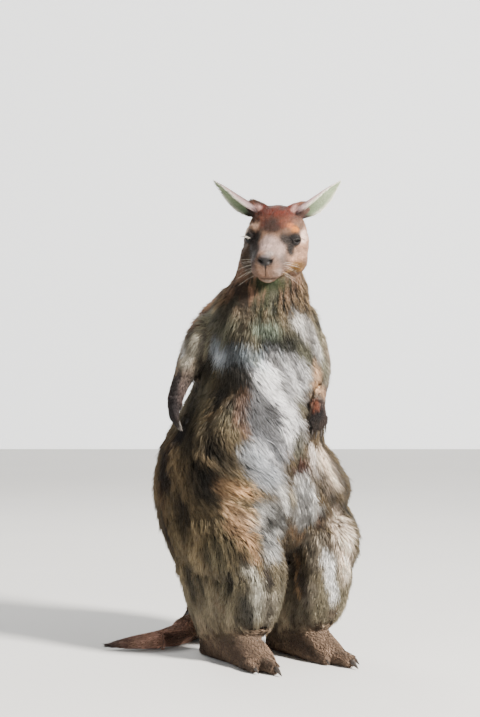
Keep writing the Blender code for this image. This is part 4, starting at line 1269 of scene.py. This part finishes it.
def coat_patch(name, skin, chosen, seed):
    """Grows the coat over the chosen triangles of the skin."""
    rng = np.random.default_rng(seed)
    points, triangles = skin["points"], skin["triangles"][chosen]
    gap = skin["coat"][triangles].mean(axis=(1,))[:, 3] * MM / math.sqrt(TUFTS)
    index, corner = sample(triangles, points, gap, rng)
    bare = blended(skin["bare"][:, None], triangles, index, corner)[:, 0]
    keep = bare < rng.uniform(0.25, 0.6, len(index))
    index, corner = index[keep], corner[keep]

    def here(values):
        return blended(values, triangles, index, corner)

    root, flow, coat = here(points), here(skin["flow"]), here(skin["coat"])
    normal = unit(here(skin["normals"]))
    low, high = here(skin["root"]), here(skin["tip"])
    count = len(root)
    side = np.cross(flow, normal)
    wave = np.sin(root @ np.array([61.0, 43.0, 87.0])) * 0.10 \
        + np.sin(root @ np.array([-143.0, 171.0, 90.0])) * 0.08
    stray = wave + rng.normal(0, UNEVEN, count)
    streak = here(skin["streak"][:, None])[:, 0]
    uphill = here(skin["slope"])
    uphill = uphill / (np.linalg.norm(uphill, axis=1, keepdims=True) + 60)
    flow = flow + side * stray[:, None] + uphill * smoothstep(8, 22, coat[:, 0])[:, None] * 0.30
    flow = laid_flat(flow, normal)
    length = coat[:, 0] * MM * rng.uniform(0.72, 1.2, count)
    guard = (rng.random(count) < GUARD_SHARE) & (coat[:, 0] > 12)
    lift = coat[:, 1] * MM * rng.uniform(0.75, 1.15, count) * skin_lift(root) * (1 + 0.22 * streak)
    lift = lift * np.where(guard, 1.35, 1.0)
    length = length * np.where(guard, 1.12, 1.0)
    width = coat[:, 2] * MM * rng.uniform(0.7, 1.25, count) / math.sqrt(TUFTS)
    bend, tip, across, above = tuft_points(root, normal, flow, length, lift, rng)
    leaders = rng.choice(count, max(count // CLUMP_SIZE, 1), replace=False)
    bend, tip, chief = clumped(root, bend, tip, leaders, coat[:, 4])
    corners = finished_tufts(root, normal, bend, tip, across, above, width)
    corners[:, :, 2] = np.maximum(corners[:, :, 2], HAIR_OFF_FLOOR)
    low, high = jitter_colors(low, high, chief, rng)
    low = low + (high - low) * (shortness(coat) * 0.75)[:, None]
    strong = smoothstep(5, 20, coat[:, 0]) * 0.75 + 0.25
    low = low * np.exp(np.where(streak > 0, 0.25, 0.50) * streak * strong)[:, None]
    high = np.clip(high * np.exp(np.where(streak > 0, 0.38, 0.85) * streak * strong)[:, None], 0, 0.95)
    root_uv = unwrap(name, points, triangles, index, corner)
    slot = record_slots[FLESH[np.bincount(skin["labels"][triangles[:, 0]]).argmax()]]
    coat_object(name, corners, low, high, root_uv, skin["material"])


def shortness(coat):
    """1 on the short coat of face and hands, 0 on the long coat."""
    return smoothstep(16, 4, coat[:, 0])


def skin_lift(root):
    """Where the coat stands out: the hem of the chest ruff."""
    hem = np.exp(-((root[:, 2] - 0.580) / 0.018) ** 2) * smoothstep(-0.02, -0.08, root[:, 1])
    return 1 + hem * 0.5


# ---------------------------------------------------------------- build

skin_obj, weights, wide, labels, flow, coat, streak = make_skin()
mesh = skin_obj.data
points, normals = points_of(mesh), normals_of(mesh)
shown = points + normals * coat[:, 1:2] * MM + unit(flow) * coat[:, :1] * 0.00055
root_color, tip_color = markings_and_painted_light(shown, wide, streak)
places = to_head(points)
on_head = smoothstep(0.35, 0.8, weights[:, FLESH.index("head")])
nose = blot(places, (0, -0.137, 0.0005), (0.0215, 0.0170, 0.0152)) * on_head
mouth = 0.7 * np.exp(-((places[:, 2] - mouth_height(places)) / 0.0020) ** 2) * on_head \
    * smoothstep(-0.050, -0.066, places[:, 1])
lids = smoothstep(EYE_RADIUS + 0.0045, EYE_RADIUS + 0.0015, eye_distance(places)) * on_head
opening = in_opening(places, 0.16) * on_head
soles = smoothstep(0.006, 0.002, points[:, 2])
groove = 0.6 * smoothstep(0.0018, 0.0006, np.abs(places[:, 0])) * on_head \
    * smoothstep(-0.036, -0.030, places[:, 2]) * smoothstep(-0.006, -0.011, places[:, 2]) \
    * smoothstep(-0.100, -0.115, places[:, 1])
bare = np.clip(nose + opening + soles + mouth * 1.5 + groove, 0, 1)
skin_color = root_color + (tip_color - root_color) * (0.38 + 0.34 * shortness(coat))[:, None]
skin_color = skin_color * np.exp(0.10 * streak)[:, None]
skin_color = toward(skin_color, (20, 16, 16), np.clip(nose + lids + opening + mouth + groove, 0, 1))
nostrils = np.maximum(blot(places, (0.0095, -0.131, -0.0006), (0.0062, 0.012, 0.0036)),
                      blot(places, (-0.0095, -0.131, -0.0006), (0.0062, 0.012, 0.0036))) * on_head
# painted highlight on the top of the nose pad
painted_nose_highlight = blot(places, (0.001, -0.131, 0.0120), (0.017, 0.014, 0.0055)) * on_head
skin_color = toward(skin_color, (96, 88, 88), painted_nose_highlight * nose * 0.7)
# the nostrils darkened nearly to black: painted shade in their pits
skin_color = skin_color * (1 - 0.9 * nostrils)[:, None]
set_tint(mesh, "tint", np.clip(skin_color, 0, 1))
set_tint(mesh, "bare", np.repeat(np.clip(nose + soles, 0, 1)[:, None], 3, axis=1))

coat_material = coat_finish("coat")
skin_material = skin_finish()
skin_data = {"points": points, "normals": normals, "triangles": triangles_of(mesh), "labels": labels,
             "flow": flow, "coat": coat, "bare": bare, "streak": streak,
             "slope": slope(streak, points, edges_of(mesh)), "root": root_color, "tip": tip_color,
             "material": coat_material}
face_label = labels[skin_data["triangles"][:, 0]]
face_spot = points[skin_data["triangles"]].mean(axis=1)
bearing = np.degrees(np.arctan2(face_spot[:, 0] - HIPS[0], HIPS[1] - face_spot[:, 1]))   # 0 in front


def of(*nodes):
    return np.isin(face_label, [FLESH.index(node) for node in nodes])


PATCHES = {
    "coat_face": of("head") & (to_head(face_spot)[:, 1] < -0.035),
    "coat_crown": of("head") & (to_head(face_spot)[:, 1] >= -0.035),
    "coat_neck": of("neck"),
    "coat_chest_front": of("chest") & (np.abs(bearing) < 75),
    "coat_chest_back": of("chest") & (np.abs(bearing) >= 75),
    "coat_belly_front": of("belly") & (np.abs(bearing) < 38),
    "coat_belly_right": of("belly") & (bearing <= -38) & (bearing > -118),
    "coat_belly_left": of("belly") & (bearing >= 38) & (bearing < 118),
    "coat_back": of("belly") & (np.abs(bearing) >= 118),
    "coat_rump_right": of("rump") & (bearing < 0),
    "coat_rump_left": of("rump") & (bearing >= 0),
    "coat_thigh_r": of("thigh_r"),
    "coat_thigh_l": of("thigh_l"),
    "coat_shank_r": of("shank_r"),
    "coat_shank_l": of("shank_l"),
    "coat_feet": of("foot_l", "foot_r"),
    "coat_tail": of("tail_base", "tail_middle", "tail_tip"),
    "coat_arm_l": of("upper_arm_l", "forearm_l", "hand_l"),
    "coat_arm_r": of("upper_arm_r", "forearm_r", "hand_r"),
}
for seed, (name, chosen) in enumerate(PATCHES.items()):
    coat_patch(name, skin_data, chosen, 100 + seed)

# ears and lid rims join the skin
extra = []
for side in (1, -1):
    spots, faces, along, round_, outer = ear_shape(side)
    extra.append((from_head(spots), faces, ear_colors(along, round_, outer), np.zeros(len(spots))))
    for spots, faces in lid_rims(side):
        extra.append((from_head(spots), faces, np.tile(linear((22, 17, 17)), (len(spots), 1)),
                      np.ones(len(spots))))
pieces = [skin_obj]
for number, (spots, faces, colors, naked) in enumerate(extra):
    piece = mesh_object("skin_part_%d" % number, spots, faces)
    set_tint(piece.data, "tint", colors)
    set_tint(piece.data, "bare", np.repeat(naked[:, None], 3, axis=1))
    pieces.append(piece)
joined(pieces)
skin_obj.data.shade_smooth()
skin_obj.data.materials.clear()
skin_obj.data.materials.append(skin_material)
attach(skin_obj, "root")
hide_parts(*FLESH, "ear_l", "ear_r")

# short coat of the ears: dark outside, pale pile inside and a fringe along the rims
for side, name in ((1, "coat_ear_l"), (-1, "coat_ear_r")):
    rng = np.random.default_rng(500 + side)
    spots, faces, along, round_, outer = ear_shape(side)
    spots = from_head(spots)
    colors = ear_colors(along, round_, outer)
    index, corner = sample(faces, spots, np.full(len(faces), 0.00135 / math.sqrt(TUFTS)), rng)
    root, normal = blended(spots, faces, index, corner), unit(face_normals(spots, faces))[index]
    u = blended(along[:, None], faces, index, corner)[:, 0]
    edge = np.abs(blended(round_[:, None], faces, index, corner)[:, 0])
    tone = blended(colors, faces, index, corner)
    direction = np.array(ear_place(side))[:3, 2] @ TURN.T
    flow_ear = unit(direction + rng.normal(0, 0.12, (len(root), 3)))
    flow_ear = laid_flat(flow_ear, normal)
    fringe = smoothstep(0.86, 0.98, edge)
    length = (0.0045 + 0.0035 * fringe + 0.004 * smoothstep(0.25, 0.05, u)) * rng.uniform(0.7, 1.2, len(root))
    length *= smoothstep(1.02, 0.88, u) * 0.6 + 0.4
    height = (0.0008 + 0.0012 * fringe) * rng.uniform(0.6, 1.3, len(root))
    width = 0.00095 * rng.uniform(0.7, 1.2, len(root)) / math.sqrt(TUFTS)
    bend, tip, across, above = tuft_points(root, normal, flow_ear, length, height, rng)
    corners = finished_tufts(root, normal, bend, tip, across, above, width)
    corners[:, 0] += normal * 0.0007
    factor = np.exp(rng.normal(0, UNEVEN, len(root)))[:, None]
    coat_object(name, corners, tone * 0.7 * factor, np.clip(tone * 1.15 * factor, 0, 0.9),
                unwrap(name, spots, faces, index, corner), coat_material)

# eyes
for side, node in ((1, "eye_l"), (-1, "eye_r")):
    centre = middle(node)
    gaze = Vector(GAZE * (side, 1, 1) @ TURN.T)
    bpy.ops.object.select_all(action="DESELECT")
    bpy.ops.mesh.primitive_uv_sphere_add(segments=48, ring_count=32, radius=EYE_RADIUS, location=centre,
                                         rotation=gaze.to_track_quat("Z", "Y").to_euler())
    ball = settle(bpy.context.object)
    ball.name = "eyeball_" + node[-1]
    spots = points_of(ball.data)
    away = unit(spots - np.array(centre))
    dome = smoothstep(0.80, 1.0, away @ np.array(gaze))
    set_points(ball.data, spots + away * (dome * 0.0007)[:, None])
    ball.data.shade_smooth()
    ball.data.materials.append(eye_finish(centre, gaze))
    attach(ball, "root")
    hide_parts(node)

# claws
horn = claw_finish()
for node in CLAWS:
    claw = merged_copy(node, node.replace("claw_", "horn_"))
    apply(claw, "SUBSURF", levels=1, render_levels=1)
    claw.data.shade_smooth()
    claw.data.materials.append(horn)
    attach(claw, "root")
    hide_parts(node)

# whiskers, lashes
hair_material = coat_finish("whisker_hair", 0.2)


def spikes(name, hairs, thick, droop):
    """Single stiff hairs, each a thin curved spike: root, direction, length and colour."""
    all_points, all_faces, all_colors = [], [], []
    start = 0
    for root, direction, length, color in hairs:
        t = np.linspace(0, 1, 7)[:, None]
        route = root + direction * length * t + np.array([0, 0, -1.0]) * length * droop * t ** 2
        spots, faces = tube(route, thick * (1.05 - 0.85 * t[:, 0]), around=5)
        all_points.append(spots)
        all_faces.append(faces + start)
        all_colors.append(np.tile(linear(color), (len(spots), 1)))
        start += len(spots)
    obj = mesh_object(name, np.vstack(all_points), np.vstack(all_faces))
    set_tint(obj.data, "tint", np.vstack(all_colors))
    uv = np.repeat(np.linspace(0.05, 0.95, len(hairs))[:, None], 2, axis=1)
    corner_uv = np.repeat(uv, len(all_points[0]), axis=0)[triangles_of(obj.data).ravel()]
    corner_uv = corner_uv + np.tile([(0, 0), (HALF_PATCH, 0), (0, HALF_PATCH)], (len(corner_uv) // 3, 1))
    finish_hair(obj, corner_uv, hair_material)


def on_skin(spot):
    """The point of the skin nearest to a spot in the head's axes."""
    return np.array(skin_tree.find_nearest(Vector(from_head(spot)))[0])


rng = np.random.default_rng(77)
skin_tree = surface_tree(points, skin_data["triangles"])
hairs = []
for side in (1, -1):
    for row in range(4):
        for k in range(4):
            spot = np.array([side * (0.020 + 0.002 * k), -0.112 + 0.0085 * k, -0.014 - 0.0055 * row])
            way = np.array([side * (0.80 + 0.1 * k), -0.28 + 0.22 * k, -0.12 * row - 0.05])
            hairs.append((on_skin(spot), unit(way + rng.normal(0, 0.08, 3)) @ TURN.T,
                          rng.uniform(0.022, 0.038),
                          (34, 28, 26) if rng.random() < 0.6 else (206, 198, 184)))
    for k in range(4):
        spot = np.array([side * (0.032 + 0.003 * k), -0.040 + 0.005 * k, 0.040])
        way = np.array([side * 0.55, -0.62, 0.35])
        hairs.append((on_skin(spot), unit(way + rng.normal(0, 0.12, 3)) @ TURN.T,
                      rng.uniform(0.018, 0.026), (40, 32, 28)))
spikes("whiskers", hairs, 0.00022, 0.22)

hairs = []
for side in (1, -1):
    gaze, fore, up = eye_axes(side)
    for u in np.linspace(-0.72, 0.62, 26):
        u = float(u + rng.normal(0, 0.02))
        root = on_ball(side, np.array(u), lid_line(np.array(u), True) + 0.03, EYE_RADIUS + 0.0018)
        way = unit(gaze * 0.85 + fore * u * 0.7 + up * 0.18 + rng.normal(0, 0.07, 3))
        hairs.append((from_head(root), way @ TURN.T, rng.uniform(0.0075, 0.0125),
                      (22, 18, 17) if side > 0 or rng.random() < 0.5 else (180, 172, 160)))
spikes("eyelashes", hairs, 0.00036, 0.30)

# ---------------------------------------------------------------- studio

bpy.ops.object.select_all(action="DESELECT")
bpy.ops.mesh.primitive_plane_add(size=40, location=(0, 0, 0))
floor = settle(bpy.context.object)
floor.name = "floor"
floor.data.materials.append(floor_finish())

VIEW_TURN = math.radians(-28.0)
SENSOR = 36.0
FOCAL = 2100.0 / 717.0      # in heights of the frame
DISTANCE = 4.2
RIGHT = Vector((math.cos(VIEW_TURN), math.sin(VIEW_TURN), 0))
AHEAD = Vector((-math.sin(VIEW_TURN), math.cos(VIEW_TURN), 0))
camera_data = bpy.data.cameras.new("camera")
camera = placed("camera", camera_data)
camera.location = RIGHT * -0.03 + AHEAD * -DISTANCE + Vector(HIPS) + Vector((0, 0, 0.70))
look = AHEAD * DISTANCE + Vector((0, 0, -0.107))
camera.rotation_euler = look.to_track_quat("-Z", "Y").to_euler()
camera_data.sensor_fit = "VERTICAL"
camera_data.sensor_height = SENSOR
camera_data.lens = FOCAL * SENSOR
bpy.context.scene.camera = camera


def lamp(name, right, ahead, height, target, width, power, color):
    """A round lamp, placed as the camera sees it and aimed at a height of the animal."""
    data = bpy.data.lights.new(name, "AREA")
    data.shape = "DISK"
    data.size = width
    data.energy = power
    data.color = color
    obj = placed(name, data)
    obj.location = RIGHT * right + AHEAD * ahead + Vector((0, 0, height))
    obj.rotation_euler = (Vector((0.03, -0.05, target)) - obj.location).to_track_quat("-Z", "Y").to_euler()


lamp("key", 4.0, -3.9, 3.7, 0.45, 1.1, 2150, (1.0, 0.96, 0.90))
lamp("fill", -2.4, -2.8, 1.8, 0.45, 2.4, 24, (0.91, 0.955, 1.0))
lamp("rim", -0.9, 2.6, 2.4, 0.55, 1.2, 60, (1.0, 0.98, 0.95))

# pale wall behind the floor, bright by itself
bpy.ops.mesh.primitive_plane_add(size=1, location=tuple(AHEAD * 6.0 + Vector((0, 0, 4.0))),
                                 rotation=(math.radians(90), 0, VIEW_TURN))
wall = bpy.context.object
wall.scale = (24, 8.1, 1)
wall = settle(wall)
wall.name = "wall"
wall.data.materials.append(finish_of("wall", 0.9, Base_Color=(0.80, 0.81, 0.82, 1),
                                     Emission_Color=(0.90, 0.93, 0.96, 1), Emission_Strength=0.75)[0])

world = bpy.data.worlds.new("studio")
bpy.context.scene.world = world
world.use_nodes = True
background = world.node_tree.nodes["Background"]
background.inputs["Color"].default_value = (0.93, 0.95, 0.97, 1)
background.inputs["Strength"].default_value = 0.38
